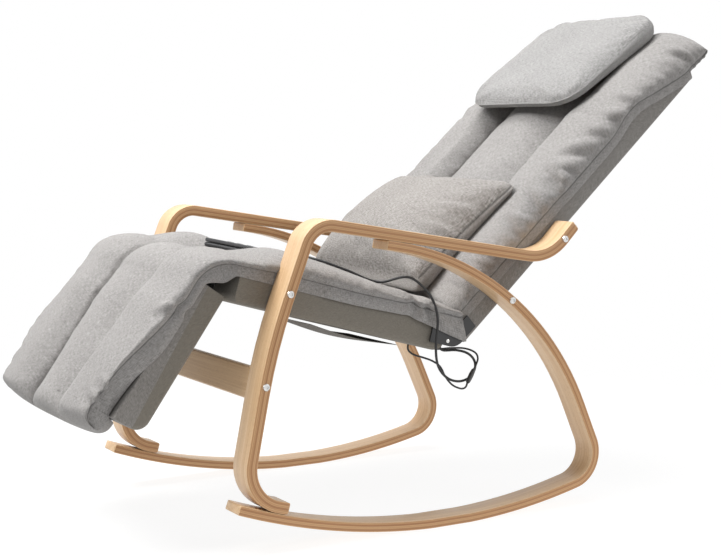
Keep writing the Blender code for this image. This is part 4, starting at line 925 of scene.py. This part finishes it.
def rolled(cut, share, droop, side_droop):
    """The same section drawn together towards the pad's rolled end, at 1."""
    keep = 0.15 + 0.85 * math.sqrt(1 - math.sin(share * math.pi / 2) ** 3.2)
    low = cut["low"] - droop
    middle = (low + cut["crest"]) / 2
    made = dict(cut)
    for key in ("sewn", "middle", "crest", "seam"):
        made[key] = middle + (cut[key] - middle) * keep
    made["hem"] = middle + (cut["low"] - side_droop + 0.003 - middle) * keep
    made["low"] = middle + (low - middle) * keep
    made["seam"] = max(made["seam"], made["hem"] + 0.004)
    return made


SEAT_ROWS, KNEE_ROWS, LEGREST_ROWS, ROLL_ROWS = 70, 17, 46, 12
REAR_SHARES = (0.85, 0.6, 0.3)
lower_rows = []
rear_cut = seat_cut(SEAT_REAR)
for share in REAR_SHARES:
    place = shifted(SEAT, SEAT_REAR + REAR_ROLL * math.sin(share * math.pi / 2), SEAT_FACE)
    lower_rows.append((place, rolled(rear_cut, share, droop=0.0, side_droop=0.0)))
for index in range(SEAT_ROWS):
    along = SEAT_REAR - (SEAT_REAR - SEAT_FRONT) * index / (SEAT_ROWS - 1)
    lower_rows.append((shifted(SEAT, along, SEAT_FACE), seat_cut(along)))
knee_from = math.radians(74.5)
knee_to = math.radians(145.0)
for index in range(1, KNEE_ROWS + 1):
    share = index / (KNEE_ROWS + 1)
    turn = knee_from + share * (knee_to - knee_from)
    place = Matrix.Translation(HINGE) @ Matrix.Rotation(math.pi / 2 - turn, 4, "Y")
    lower_rows.append((shifted(place, 0.0, KNEE_LEVEL + share * KNEE_RISE), knee_cut(share)))
for index in range(LEGREST_ROWS):
    down = LEGREST_END * index / (LEGREST_ROWS - 1)
    lower_rows.append((shifted(LEGREST, -down, LEGREST_FACE), legrest_cut(down)))
foot_cut = legrest_cut(LEGREST_END)
for index in range(ROLL_ROWS):
    share = index / (ROLL_ROWS - 1)
    bow = math.sin(share * math.pi / 2)
    place = shifted(LEGREST, -FOOT_START - FOOT_ROLL * bow, LEGREST_FACE)
    cut = rolled(foot_cut, share, droop=0.042, side_droop=0.004)
    lower_rows.append((place, dict(cut, corner=0.010 * bow)))
lower_pad, lower_across, lower_along = quilted_pad("seat_and_legrest_pad", lower_rows)


def back_cut(along):
    """A section of the back's pad, so far up from the middle of the back."""
    taper = max(0.0, along - 0.26) / 0.24
    full = (0.057 - 0.018 * taper) * (0.88 + 0.12 * ease((along + 0.235) / 0.12))
    free = ease((along - 0.070) / 0.03)
    hood = ease((along - 0.335) / 0.010)
    rise = 0.012 * math.exp(-(((along - 0.322) / 0.045) ** 2))
    drop = 0.034 * ease((along - 0.345) / 0.17)
    tuck = ease((-0.16 - along) / 0.11)
    return dict(
        LEVEL_CUT,
        loose=ease((along - 0.30) / 0.03),
        channel=0.1265,
        sewn=0.24 * full,
        middle=0.95 * full,
        crest=full,
        crest_at=0.172,
        seam=0.002 + rise - drop + 0.003 * hood,
        seam_at=0.2698 + 0.0035 * free + 0.0010 * hood,
        hem=-0.0165 + 0.9 * rise - drop + 0.002 * hood,
        hem_at=0.2716 + 0.0030 * free + 0.0008 * hood,
        lean=0.55 * tuck,
        bulge=0.0003 + 0.0025 * free,
    )


BACK_ROWS, TOP_ROWS = 120, 18
back_rows = []
for index in range(BACK_ROWS):
    along = BACK_START + (BACK_END + CLEARANCE - BACK_START) * index / (BACK_ROWS - 1)
    back_rows.append((shifted(BACK, along, BACK_FACE), back_cut(along)))
top_cut = back_cut(BACK_END)
for index in range(TOP_ROWS):
    share = index / (TOP_ROWS - 1)
    bow = math.sin(share * math.pi / 2)
    place = shifted(BACK, BACK_END + 2 * CLEARANCE + TOP_ROLL * bow, BACK_FACE - 0.030 * share * share)
    cut = rolled(top_cut, share, droop=0.036, side_droop=0.036)
    back_rows.append((place, dict(cut, corner=-0.034 * bow)))
back_pad, back_across = quilted_pad("back_pad_cover", back_rows)[:2]


def keep_under(obj, place, inside, level, fade):
    """Presses a pad down where another piece lies or slides on it, at a level of that piece's frame."""
    spots = read_points(obj)
    turn = np.array(place.to_3x3())
    local = (spots - np.array(place.translation)) @ turn
    over = np.maximum(local[:, 2] - level, 0.0)
    outside = np.maximum(np.abs(local[:, 0]) - inside[0], np.abs(local[:, 1]) - inside[1])
    over *= 1.0 - eased(outside / fade)
    over *= numbers(obj, "upper") > 0.2
    write_points(obj, spots - over[:, None] * turn[:, 2])


CONTROLLER = Matrix.Translation((-0.29941, -0.015, 0.51681)) @ SEAT.to_3x3().to_4x4()
CONTROLLER = CONTROLLER @ Matrix.Rotation(math.radians(-68.0), 4, "Z")

for pad, across, slack, cap, seed in (
    (lower_pad, lower_across, 0.006, 0.0035, 11),
    (back_pad, back_across, 0.014, 0.0060, 29),
):
    puff(pad, slack, cap)
    refine(pad)
    edge = across[HALF_TOP]
    channel = across[MIDDLE]
    pucker(pad, (-edge, edge), height=0.24 * slack, reach=0.042, longest=0.085, seed=seed)
    pucker(pad, (-channel, channel), height=0.0014, reach=0.026, longest=0.070, seed=seed + 5)
    for sewn in (-channel, channel):
        draw_in(pad, sewn, width=0.006, depth=0.0035)


def lower_at(along):
    """The cloth's length at a place along the seat, or down the legrest where it is negative."""
    if along >= 0:
        first = len(REAR_SHARES)
        span, rows, place = SEAT_REAR - SEAT_FRONT, SEAT_ROWS, SEAT_REAR - along
    else:
        first = len(REAR_SHARES) + SEAT_ROWS + KNEE_ROWS
        span, rows, place = LEGREST_END, LEGREST_ROWS, -along
    return float(np.interp(place, [0.0, span], [lower_along[first], lower_along[first + rows - 1]]))


def back_at(along):
    """The cloth's length at a place along the back."""
    return along - BACK_START


def add_folds(pad, edge, length_at, folds):
    """Folds by side, start and end, each in from the pad's edge and along it, then width and depth."""
    for side, start, end, width, depth in folds:
        first, second = [(side * (edge - inwards), length_at(along)) for inwards, along in (start, end)]
        fold(pad, first, second, width, depth)


LOWER_FOLDS = (
    (-1, (0.002, 0.290), (0.085, 0.262), 0.009, 0.0060),
    (-1, (0.002, 0.335), (0.090, 0.345), 0.009, 0.0060),
    (-1, (-0.024, 0.322), (0.030, 0.306), 0.008, 0.0060),
    (-1, (-0.024, 0.352), (0.030, 0.340), 0.008, 0.0055),
    (-1, (0.004, 0.205), (0.050, 0.190), 0.008, 0.0030),
    (-1, (0.004, -0.060), (0.060, -0.085), 0.008, 0.0055),
    (-1, (-0.020, -0.262), (0.055, -0.225), 0.007, 0.0055),
    (-1, (-0.010, -0.280), (0.050, -0.262), 0.006, 0.0045),
    (-1, (0.030, -0.284), (0.080, -0.245), 0.007, 0.0035),
    (1, (0.002, 0.290), (0.085, 0.262), 0.009, 0.0060),
    (1, (0.002, 0.335), (0.090, 0.345), 0.009, 0.0060),
    (1, (0.010, -0.270), (0.070, -0.235), 0.008, 0.0030),
)
BACK_FOLDS = (
    (-1, (0.004, 0.192), (0.080, 0.140), 0.010, 0.0085),
    (-1, (0.004, 0.290), (0.055, 0.268), 0.008, 0.0065),
    (-1, (0.004, 0.245), (0.060, 0.215), 0.008, 0.0065),
    (-1, (0.002, 0.336), (0.070, 0.322), 0.009, 0.0055),
    (-1, (0.004, 0.140), (0.055, 0.108), 0.008, 0.0065),
    (-1, (0.010, 0.075), (0.095, 0.115), 0.011, 0.0085),
    (-1, (0.006, 0.012), (0.075, 0.042), 0.009, 0.0075),
    (-1, (0.004, 0.530), (0.065, 0.480), 0.008, 0.0055),
    (-1, (0.004, -0.060), (0.070, -0.030), 0.010, 0.0065),
    (-1, (0.004, -0.205), (0.080, -0.180), 0.009, 0.0055),
    (1, (0.004, 0.215), (0.070, 0.170), 0.010, 0.0050),
    (1, (0.002, 0.336), (0.070, 0.322), 0.009, 0.0055),
    (1, (0.008, 0.060), (0.080, 0.100), 0.010, 0.0045),
    (1, (0.004, 0.540), (0.065, 0.490), 0.008, 0.0040),
    (1, (0.004, -0.205), (0.080, -0.180), 0.009, 0.0055),
)
add_folds(lower_pad, lower_across[HALF_TOP], lower_at, LOWER_FOLDS)
add_folds(back_pad, back_across[HALF_TOP], back_at, BACK_FOLDS)
keep_under(lower_pad, CONTROLLER, inside=(0.085, 0.032), level=-0.0004, fade=0.010)
keep_under(back_pad, shifted(LUMBAR, 0.060, 0.0), inside=(0.212, 0.217), level=-0.0002, fade=0.090)
keep_under(back_pad, HEADREST, inside=(0.170, 0.195), level=-0.0002, fade=0.010)


def drop_working_layers(obj):
    """Removes the layers that only the modelling needs."""
    for name in ("upper", "held"):
        obj.data.attributes.remove(obj.data.attributes[name])


drop_working_layers(lower_pad)
drop_working_layers(back_pad)
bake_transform(lower_pad)
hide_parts("seat_pad", "knee_pad", "legrest_pad")
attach(back_pad, "chair_frame")
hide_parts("back_pad")

# Pillows

HEADREST_HALF = (0.1615, 0.187)
LUMBAR_HALF = (0.149, 0.214)
PILLOW_LIFT = 0.0006
PILLOW_CAP = 0.006


def spread(share, tight):
    """Draws evenly spaced points towards both edges."""
    return share * (1 + tight - tight * share * share)


def rounded_plan(along, aside, half, radius):
    """Rounds the four corners of a rectangle; gives the place and how far in from the edge it lies."""
    inner = min(half[0] - abs(along), half[1] - abs(aside))
    core = [max(radius - size, min(size - radius, value)) for value, size in zip((along, aside), half)]
    out = [along - core[0], aside - core[1]]
    keep = max(abs(out[0]), abs(out[1])) / max(math.hypot(*out), 1e-9)
    return core[0] + out[0] * keep, core[1] + out[1] * keep, inner


def edge_drop(inner, radius):
    """How far a rounded edge lies below the flat, so far in from the side."""
    near = max(0.0, radius - inner)
    return radius - math.sqrt(radius * radius - near * near)


def headrest_rule(length, width, height):
    """A flat foam slab with rounded edges and corners, thicker at its upper end and full in the middle."""
    along = spread(length, 0.40)
    aside = spread(width, 0.40)
    thick = 0.037 + 0.008 * along
    x, y, inner = rounded_plan(along * HEADREST_HALF[0], aside * HEADREST_HALF[1], HEADREST_HALF, 0.066)
    pinch = 1 - 0.010 * (1 - along * along) * aside**4 - 0.010 * (1 - aside * aside) * along**4
    swell = max(0.0, (1 - along**4) * (1 - aside**4)) ** 0.5
    drop = edge_drop(inner, 0.0135)
    low = PILLOW_LIFT + drop
    high = PILLOW_LIFT + thick - drop + 0.0065 * swell
    side = 1 - 0.010 * (2 * height - 1) ** 2
    return Vector((x * pinch * side, y * pinch * side, low + height * (high - low))), 0.0


def lumbar_rule(length, width, height):
    """A full loose cushion with a strip sewn round its sides, thinner at its upper end."""
    along = spread(length, 0.30)
    aside = spread(width, 0.30)
    thick = 0.028 - 0.010 * along
    x, y, inner = rounded_plan(along * LUMBAR_HALF[0], aside * LUMBAR_HALF[1], LUMBAR_HALF, 0.024)
    pinch = 1 - 0.05 * (1 - along * along) * aside * aside - 0.05 * (1 - aside * aside) * along * along
    dome = max(0.0, (1 - along * along) * (1 - aside * aside)) ** 0.5
    drop = edge_drop(inner, 0.007)
    low = PILLOW_LIFT + drop
    high = PILLOW_LIFT + thick - drop + (0.064 - 0.006 * along) * dome
    edge = max(abs(length), abs(width)) == 1.0
    bulge = 1 + 0.012 * (1 - (2 * height - 1) ** 2) if edge else 1.0
    roll = 0.018 * ease((-along - 0.80) / 0.20) * (1 - (2 * height - 0.8) ** 2 / 1.6)
    spot = Vector((x * pinch * bulge - roll, y * pinch * bulge, low + height * (high - low)))
    # The seam's painted shade lies along the top of the strip, but along its bottom at the lower end, where
    # it meets the seat
    seam_at = 0.0 if length == -1.0 and abs(width) < 1.0 else 1.0
    return spot, 1.0 if edge and height == seam_at else 0.0


def pillow(name, cells, rule, place, slack, material):
    """A pillow whose rule gives a point's place, and 1 on its seam, from its shares of the block."""
    shape, cloth, seam, upper, held = soft_block(cells)
    for vertex in shape.verts:
        length, width, height = cell_of(vertex, cells)
        flat = (2 * length / cells[0] - 1, 2 * width / cells[1] - 1)
        spot, sewn = rule(*flat, height / cells[2])
        vertex.co = place @ spot
        edge = max(abs(flat[0]), abs(flat[1])) == 1.0
        down = (cells[2] - height) * 0.008 if edge else 0.0
        vertex[cloth] = (spot.x + math.copysign(down, spot.x), spot.y + math.copysign(down, spot.y), 0.0)
        vertex[seam] = sewn
        vertex[upper] = 1.0 if height == cells[2] else 0.0
        vertex[held] = 1.0 if edge or height == 0 else 0.0
    obj = add_object(name, shape, [material], None)
    puff(obj, slack, PILLOW_CAP)
    refine(obj)
    return obj


headrest = pillow("headrest_cushion", (40, 44, 6), headrest_rule, HEADREST, 0.004, HEADREST_LINEN)
lumbar = pillow("lumbar_cushion", (36, 50, 6), lumbar_rule, LUMBAR, 0.012, PILLOW_LINEN)
for start, end, width, depth in (
    ((0.060, -0.205), (0.020, -0.120), 0.008, 0.0040),
    ((-0.010, -0.208), (-0.030, -0.130), 0.007, 0.0035),
    ((-0.070, -0.206), (-0.050, -0.110), 0.008, 0.0040),
    ((-0.138, -0.120), (-0.070, -0.080), 0.008, 0.0042),
    ((-0.138, 0.010), (-0.075, 0.030), 0.008, 0.0035),
    ((0.135, -0.140), (0.085, -0.100), 0.007, 0.0035),
    ((0.136, 0.060), (0.080, 0.040), 0.008, 0.0035),
    ((-0.060, 0.160), (-0.040, 0.090), 0.009, 0.0030),
):
    fold(lumbar, start, end, width, depth)
for obj, body, node, fill in (
    (headrest, "headrest", "headrest_pillow", 0.8),
    (lumbar, "lumbar", "lumbar_pillow", 0.7),
):
    drop_working_layers(obj)
    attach(obj, body)
    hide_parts(node)

# Covered panels: boards wrapped in cloth, with rounded edges

UPPER_ROUNDING = 0.0034


def round_edges(shape, edges, radius, segments):
    bmesh.ops.bevel(
        shape, geom=edges, offset=radius, segments=segments, profile=0.5, affect="EDGES", material=-1
    )


def covered_panel(name, place, low, high, half, rounding, foot, materials, split, body, node):
    """A board wrapped in cloth, rounded a little above and more below, and most at its foot if it has one.

    Above split, a level and a slope, it has the second material.
    """
    shape = bmesh.new()
    bmesh.ops.create_cube(shape, size=1.0)
    for vertex in shape.verts:
        vertex.co.x = low[0] if vertex.co.x < 0 else high[0]
        vertex.co.y = -half if vertex.co.y < 0 else half
        vertex.co.z = low[1] if vertex.co.z < 0 else high[1]
    under = [edge for edge in shape.edges if all(v.co.z < low[1] + 0.001 for v in edge.verts)]
    if foot:
        ends = [edge for edge in under if all(v.co.x < low[0] + 0.001 for v in edge.verts)]
        round_edges(shape, ends, foot, 8)
        under = [edge for edge in shape.edges if all(v.co.z < high[1] - 0.001 for v in edge.verts)]
        under = [edge for edge in under if len({v.co.y for v in edge.verts}) == 1]
    round_edges(shape, under, rounding, 7)
    over = [edge for edge in shape.edges if all(v.co.z > high[1] - 0.001 for v in edge.verts)]
    round_edges(shape, over, UPPER_ROUNDING, 3)
    if split:
        geometry = shape.verts[:] + shape.edges[:] + shape.faces[:]
        bmesh.ops.bisect_plane(shape, geom=geometry, plane_co=(0, 0, split[0]), plane_no=(-split[1], 0, 1))
    for level in (-0.2, -0.1, 0.0, 0.1, 0.2):
        geometry = shape.verts[:] + shape.edges[:] + shape.faces[:]
        bmesh.ops.bisect_plane(shape, geom=geometry, plane_co=(0, level, 0), plane_no=(0, 1, 0))
    cloth = shape.verts.layers.float_vector.new("cloth")
    shape.verts.layers.float.new("seam")
    centre = (low[0] + high[0]) / 2
    for vertex in shape.verts:
        spot = vertex.co
        drop = spot.z - low[1]
        around = spot.x + math.copysign(drop, spot.x - centre)
        vertex[cloth] = (around, spot.y + math.copysign(drop, spot.y), 0.0)
    for face in shape.faces:
        spot = face.calc_center_median()
        face.material_index = 1 if split and spot.z > split[0] + split[1] * spot.x else 0
    bmesh.ops.transform(shape, matrix=place, verts=shape.verts)
    obj = add_object(name, shape, materials, body)
    smooth(obj, 40.0)
    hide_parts(node)


for name, place, low, high, half, rounding, foot, materials, split, body in (
    ("seat", SEAT, (-0.077, -0.037), (0.383, 0.0223), 0.2702, 0.016, 0.0, [COVER_CLOTH], None, "chair_frame"),
    ("back", BACK, (-0.285, -0.017), (0.5, 0.0363), 0.2702, 0.010, 0.0, [SHADED_SIDE_LINEN], None, "chair_frame"),
    (
        "legrest", LEGREST, (-0.285, 0.0), (-0.0003, 0.0643), 0.25, 0.010, 0.026,
        [COVER_CLOTH, SHADED_SIDE_LINEN], (0.0425, 0.0596), "legrest",
    ),
):
    panel = name + "_panel_cover"
    covered_panel(panel, place, low, high, half, rounding, foot, materials, split, body, name + "_cover")

# Rivets in the plates at the hip

RIVET_OUTLINE = [(0.0, 0.0017), (0.0022, 0.0016), (0.0037, 0.0011), (0.0043, 0.0004), (0.0043, 0.0)]
for side_name, side in SIDES:
    shape = bmesh.new()
    spots = [shape.verts.new((radius, 0.0, height)) for radius, height in RIVET_OUTLINE]
    edges = [shape.edges.new(pair) for pair in zip(spots, spots[1:])]
    bmesh.ops.spin(
        shape, geom=spots + edges, cent=(0, 0, 0), axis=(0, 0, 1), angle=2 * math.pi, steps=20, use_merge=True
    )
    bmesh.ops.remove_doubles(shape, verts=shape.verts, dist=0.00001)
    bmesh.ops.holes_fill(shape, edges=[edge for edge in shape.edges if edge.is_boundary])
    bmesh.ops.recalc_face_normals(shape, faces=shape.faces)
    seat_spot = SEAT @ Vector((0.390, side * 0.2757, -0.013))
    place = Matrix.Translation(seat_spot) @ Matrix.Rotation(side * -math.pi / 2, 4, "X")
    bmesh.ops.transform(shape, matrix=place, verts=shape.verts)
    rivet = add_object(f"{side_name}_plate_rivet", shape, [BRIGHT_STEEL], "chair_frame")
    smooth(rivet, 50.0)

# Cords

seat_up = (SEAT.to_3x3() @ Vector((0, 0, 1))).normalized()
pad_mesh = lower_pad.data
pad_tree = BVHTree.FromPolygons(
    [vertex.co for vertex in pad_mesh.vertices], [face.vertices for face in pad_mesh.polygons]
)
CORD_DIAMETER, LEAD_DIAMETER = 0.005, 0.0038
CORD_GAP = 0.0004
CONNECTOR_LENGTH, CONNECTOR_TAIL = 0.0333, 0.012


def on_pad(along, aside, radius):
    """A point of a cord's middle where it lies on the seat pad."""
    start = SEAT @ Vector((along, aside, 0.2))
    hit = pad_tree.ray_cast(start, -seat_up)[0]
    return hit + (radius + CORD_GAP) * seat_up


def smooth_route(points, count):
    """So many points, evenly spaced, along a smooth curve through the route."""
    spots = [2 * points[0] - points[1]] + points + [2 * points[-1] - points[-2]]
    runs = [(after - before).normalized() for before, after in zip(spots, spots[2:])]
    route = [points[0].copy()]
    for index in range(len(points) - 1):
        first = points[index]
        second = points[index + 1]
        span = (second - first).length
        for step in range(1, 13):
            t = step / 12
            spot = first * (1 - 3 * t * t + 2 * t * t * t)
            spot += second * (3 * t * t - 2 * t * t * t)
            spot += runs[index] * span * (t - 2 * t * t + t * t * t)
            spot += runs[index + 1] * span * (t * t * t - t * t)
            route.append(spot)
    lengths = running_lengths(route)
    made = []
    for number in range(count):
        want = lengths[-1] * number / (count - 1)
        spot = [float(np.interp(want, lengths, [point[axis] for point in route])) for axis in range(3)]
        made.append(Vector(spot))
    return made, lengths[-1]


def cord(name, route, diameter, count, node):
    """A round cord along a smooth curve through its route."""
    points, length = smooth_route(route, count)
    data = bpy.data.curves.new(name, "CURVE")
    data.dimensions = "3D"
    data.bevel_depth = diameter / 2
    data.bevel_resolution = 5
    data.resolution_u = 6
    data.use_fill_caps = True
    spline = data.splines.new("BEZIER")
    spline.bezier_points.add(len(points) - 1)
    for knot, point in zip(spline.bezier_points, points):
        knot.co = point
        knot.handle_left_type = "AUTO"
        knot.handle_right_type = "AUTO"
    data.materials.append(BLACK_RUBBER)
    obj = bpy.data.objects.new(name, data)
    scene.collection.objects.link(obj)
    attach(obj, "chair_frame")
    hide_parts(node)


def into_panel(aside):
    """A cord's last points: a turn under the back panel's lower end, then up into it."""
    turn = [(-0.3141, -0.0101), (-0.3175, -0.0020), (-0.3141, 0.0061), (-0.306, 0.0095), (-0.2956, 0.0095)]
    return [BACK @ Vector((along, aside, height)) for along, height in turn]


controller_route = [CONTROLLER @ Vector((0.0753, 0, 0.005)), CONTROLLER @ Vector((0.087, 0, 0.005))]
for along, aside in ((0.079, -0.116), (0.090, -0.138), (0.115, -0.185), (0.165, -0.215), (0.225, -0.240)):
    controller_route.append(on_pad(along, aside, CORD_DIAMETER / 2))
for spot in (
    (-0.073, -0.2785, 0.481),
    (-0.046, -0.285, 0.466),
    (-0.021, -0.287, 0.438),
    (-0.009, -0.289, 0.399),
    (-0.012, -0.288, 0.340),
    (-0.005, -0.286, 0.305),
    (0.016, -0.284, 0.281),
    (0.045, -0.281, 0.2705),
    (0.072, -0.278, 0.2745),
    (0.0900, -0.273, 0.290),
    (0.0935, -0.266, 0.306),
    (0.0840, -0.257, 0.3195),
    (0.0640, -0.246, 0.3260),
):
    controller_route.append(Vector(spot))
controller_route += into_panel(-0.236)
cord(
    "hand_controller_cord",
    controller_route,
    diameter=CORD_DIAMETER,
    count=110,
    node="controller_cord",
)

connector_low = Vector((0.0595, -0.292, 0.268))
connector_run = Vector((0.0236, 0.010, 0.0259)).normalized()
connector_high = connector_low + CONNECTOR_LENGTH * connector_run
seat_lead_route = [
    SEAT @ Vector((0.325, -0.24, -0.0373)),
    SEAT @ Vector((0.326, -0.2405, -0.0450)),
    SEAT @ Vector((0.336, -0.2445, -0.0530)),
    SEAT @ Vector((0.352, -0.2520, -0.0550)),
    SEAT @ Vector((0.370, -0.2630, -0.0570)),
    Vector((0.0065, -0.274, 0.3025)),
    Vector((0.0130, -0.284, 0.2830)),
    Vector((0.0240, -0.2915, 0.2670)),
    Vector((0.0405, -0.2960, 0.2590)),
    connector_low - CONNECTOR_TAIL * connector_run,
    connector_low - CLEARANCE * connector_run,
]
cord(
    "seat_lead",
    seat_lead_route,
    diameter=LEAD_DIAMETER,
    count=18,
    node="seat_link_lead",
)
back_lead_route = [
    connector_high,
    connector_high + CONNECTOR_TAIL * connector_run,
    Vector((0.1035, -0.264, 0.3105)),
    Vector((0.1070, -0.248, 0.3190)),
    Vector((0.0940, -0.232, 0.3255)),
    Vector((0.0660, -0.2215, 0.3270)),
]
back_lead_route += into_panel(-0.214)
cord(
    "back_lead",
    back_lead_route,
    diameter=LEAD_DIAMETER,
    count=34,
    node="back_link_lead",
)

# Pocket under the seat, placed in the seat's frame

POCKET_WIDTH, POCKET_LENGTH = 0.19, 0.2
POCKET_EDGE = -0.2722 + 0.016 + 0.004
POCKET_MIDDLE, POCKET_LEVEL = 0.195, -0.0373
POCKET_SAG, POCKET_THICKNESS = 0.018, 0.0014


def pocket_shape():
    """A flat cloth pocket that sags under the seat."""
    cells = (24, 22, 1)
    shape = grid_block(cells)
    cloth = shape.verts.layers.float_vector.new("cloth")
    shape.verts.layers.float.new("seam")
    for vertex in shape.verts:
        length, width, height = cell_of(vertex, cells)
        along = length / cells[0]
        across = 2 * width / cells[1] - 1
        sag = POCKET_SAG * (0.35 + 0.65 * math.sin(math.pi * along) * (1 - 0.5 * across * across))
        aside = POCKET_EDGE + POCKET_WIDTH * (across + 1) / 2
        level = POCKET_LEVEL - sag + height * POCKET_THICKNESS
        spot = Vector((POCKET_MIDDLE + POCKET_LENGTH * (along - 0.5), aside, level))
        vertex.co = SEAT @ spot
        vertex[cloth] = (spot.x, spot.y, 0.0)
    return shape


pocket = add_object("seat_pocket", pocket_shape(), [POCKET_CLOTH], None)
refine(pocket)
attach(pocket, "chair_frame")
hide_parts("under_seat_pocket")

# Finishes of the pieces that keep their own shape

# By a word of the piece's name; other pieces are black plastic
finishes = {
    "front_stretcher": BOARD_WOOD,
    "upper_shell": GLOSS_PLASTIC,
    "gland": BRASS,
    "socket": BRASS,
    "motor": MOTOR_CAN,
    "screw": BRIGHT_STEEL,
    "bracket": BLACK_STEEL,
    "rail": INNER_TIMBER,
    "board": INNER_TIMBER,
    "bolt": BRIGHT_STEEL,
    "guide": BRIGHT_STEEL,
    "hinge": BRIGHT_STEEL,
    "button": BUTTON_PLASTIC,
}
for name, node in nodes.items():
    if node.hide_render:
        continue
    fitting = [material for word, material in finishes.items() if word in name]
    node.data.materials.clear()
    node.data.materials.append(fitting[0] if fitting else BLACK_PLASTIC)

# Floor, light and background

floor_shape = bmesh.new()
bmesh.ops.create_grid(floor_shape, x_segments=1, y_segments=1, size=4.0)
floor_material, floor_tree, floor_shader = new_material("floor")
floor_place = object_place(floor_tree)
floor_tone = use_group(floor_tree, SPECKLE, Place=floor_place, Fineness=1.5)["Tone"]
floor_colour = ramp(floor_tree, floor_tone, [(0.0, (0.180, 0.180, 0.180)), (1.0, (0.188, 0.188, 0.188))])
away = floor_tree.nodes.new("ShaderNodeVectorMath")
away.operation = "LENGTH"
floor_tree.links.new(floor_place, away.inputs[0])
fade = map_range(floor_tree, away.outputs["Value"], 0.75, 1.7, "SMOOTHSTEP")
set_inputs(floor_tree, fade, {"To Min": 1.0, "To Max": 0.0})
floor_finish = {"Roughness": 0.9, "Specular IOR Level": 0.1, "Emission Strength": 4.7}
floor_finish |= {"Base Color": floor_colour, "Emission Color": floor_colour, "Alpha": fade.outputs[0]}
set_inputs(floor_tree, floor_shader, floor_finish)
floor_mesh = bpy.data.meshes.new("floor")
floor_shape.to_mesh(floor_mesh)
floor_shape.free()
floor_mesh.materials.append(floor_material)
floor = bpy.data.objects.new("floor", floor_mesh)
scene.collection.objects.link(floor)


def area_light(name, place, target, size, power):
    data = bpy.data.lights.new(name, "AREA")
    data.shape = "DISK"
    data.size = size
    data.energy = power
    light = bpy.data.objects.new(name, data)
    light.location = place
    aim = Vector(target) - Vector(place)
    light.rotation_euler = aim.to_track_quat("-Z", "Y").to_euler()
    scene.collection.objects.link(light)


area_light("key light", (-2.0, 0.3, 2.9), (-0.1, 0.0, 0.45), 1.8, 98.0)
area_light("side light", (2.4, -3.0, 2.0), (0.1, 0.0, 0.45), 2.6, 36.0)
area_light("top light", (0.0, 0.3, 3.9), (0.0, 0.0, 0.4), 2.4, 95.0)

world = bpy.data.worlds.new("studio")
scene.world = world
world.use_nodes = True
sky = world.node_tree
path = sky.nodes.new("ShaderNodeLightPath")
seen = maths(sky, "MAXIMUM", path.outputs["Is Camera Ray"], path.outputs["Is Glossy Ray"])
strength = maths(sky, "MULTIPLY_ADD", seen, 0.55, 0.45)
sky.links.new(strength, sky.nodes["Background"].inputs["Strength"])
sky.nodes["Background"].inputs["Color"].default_value = (1.0, 1.0, 1.0, 1.0)
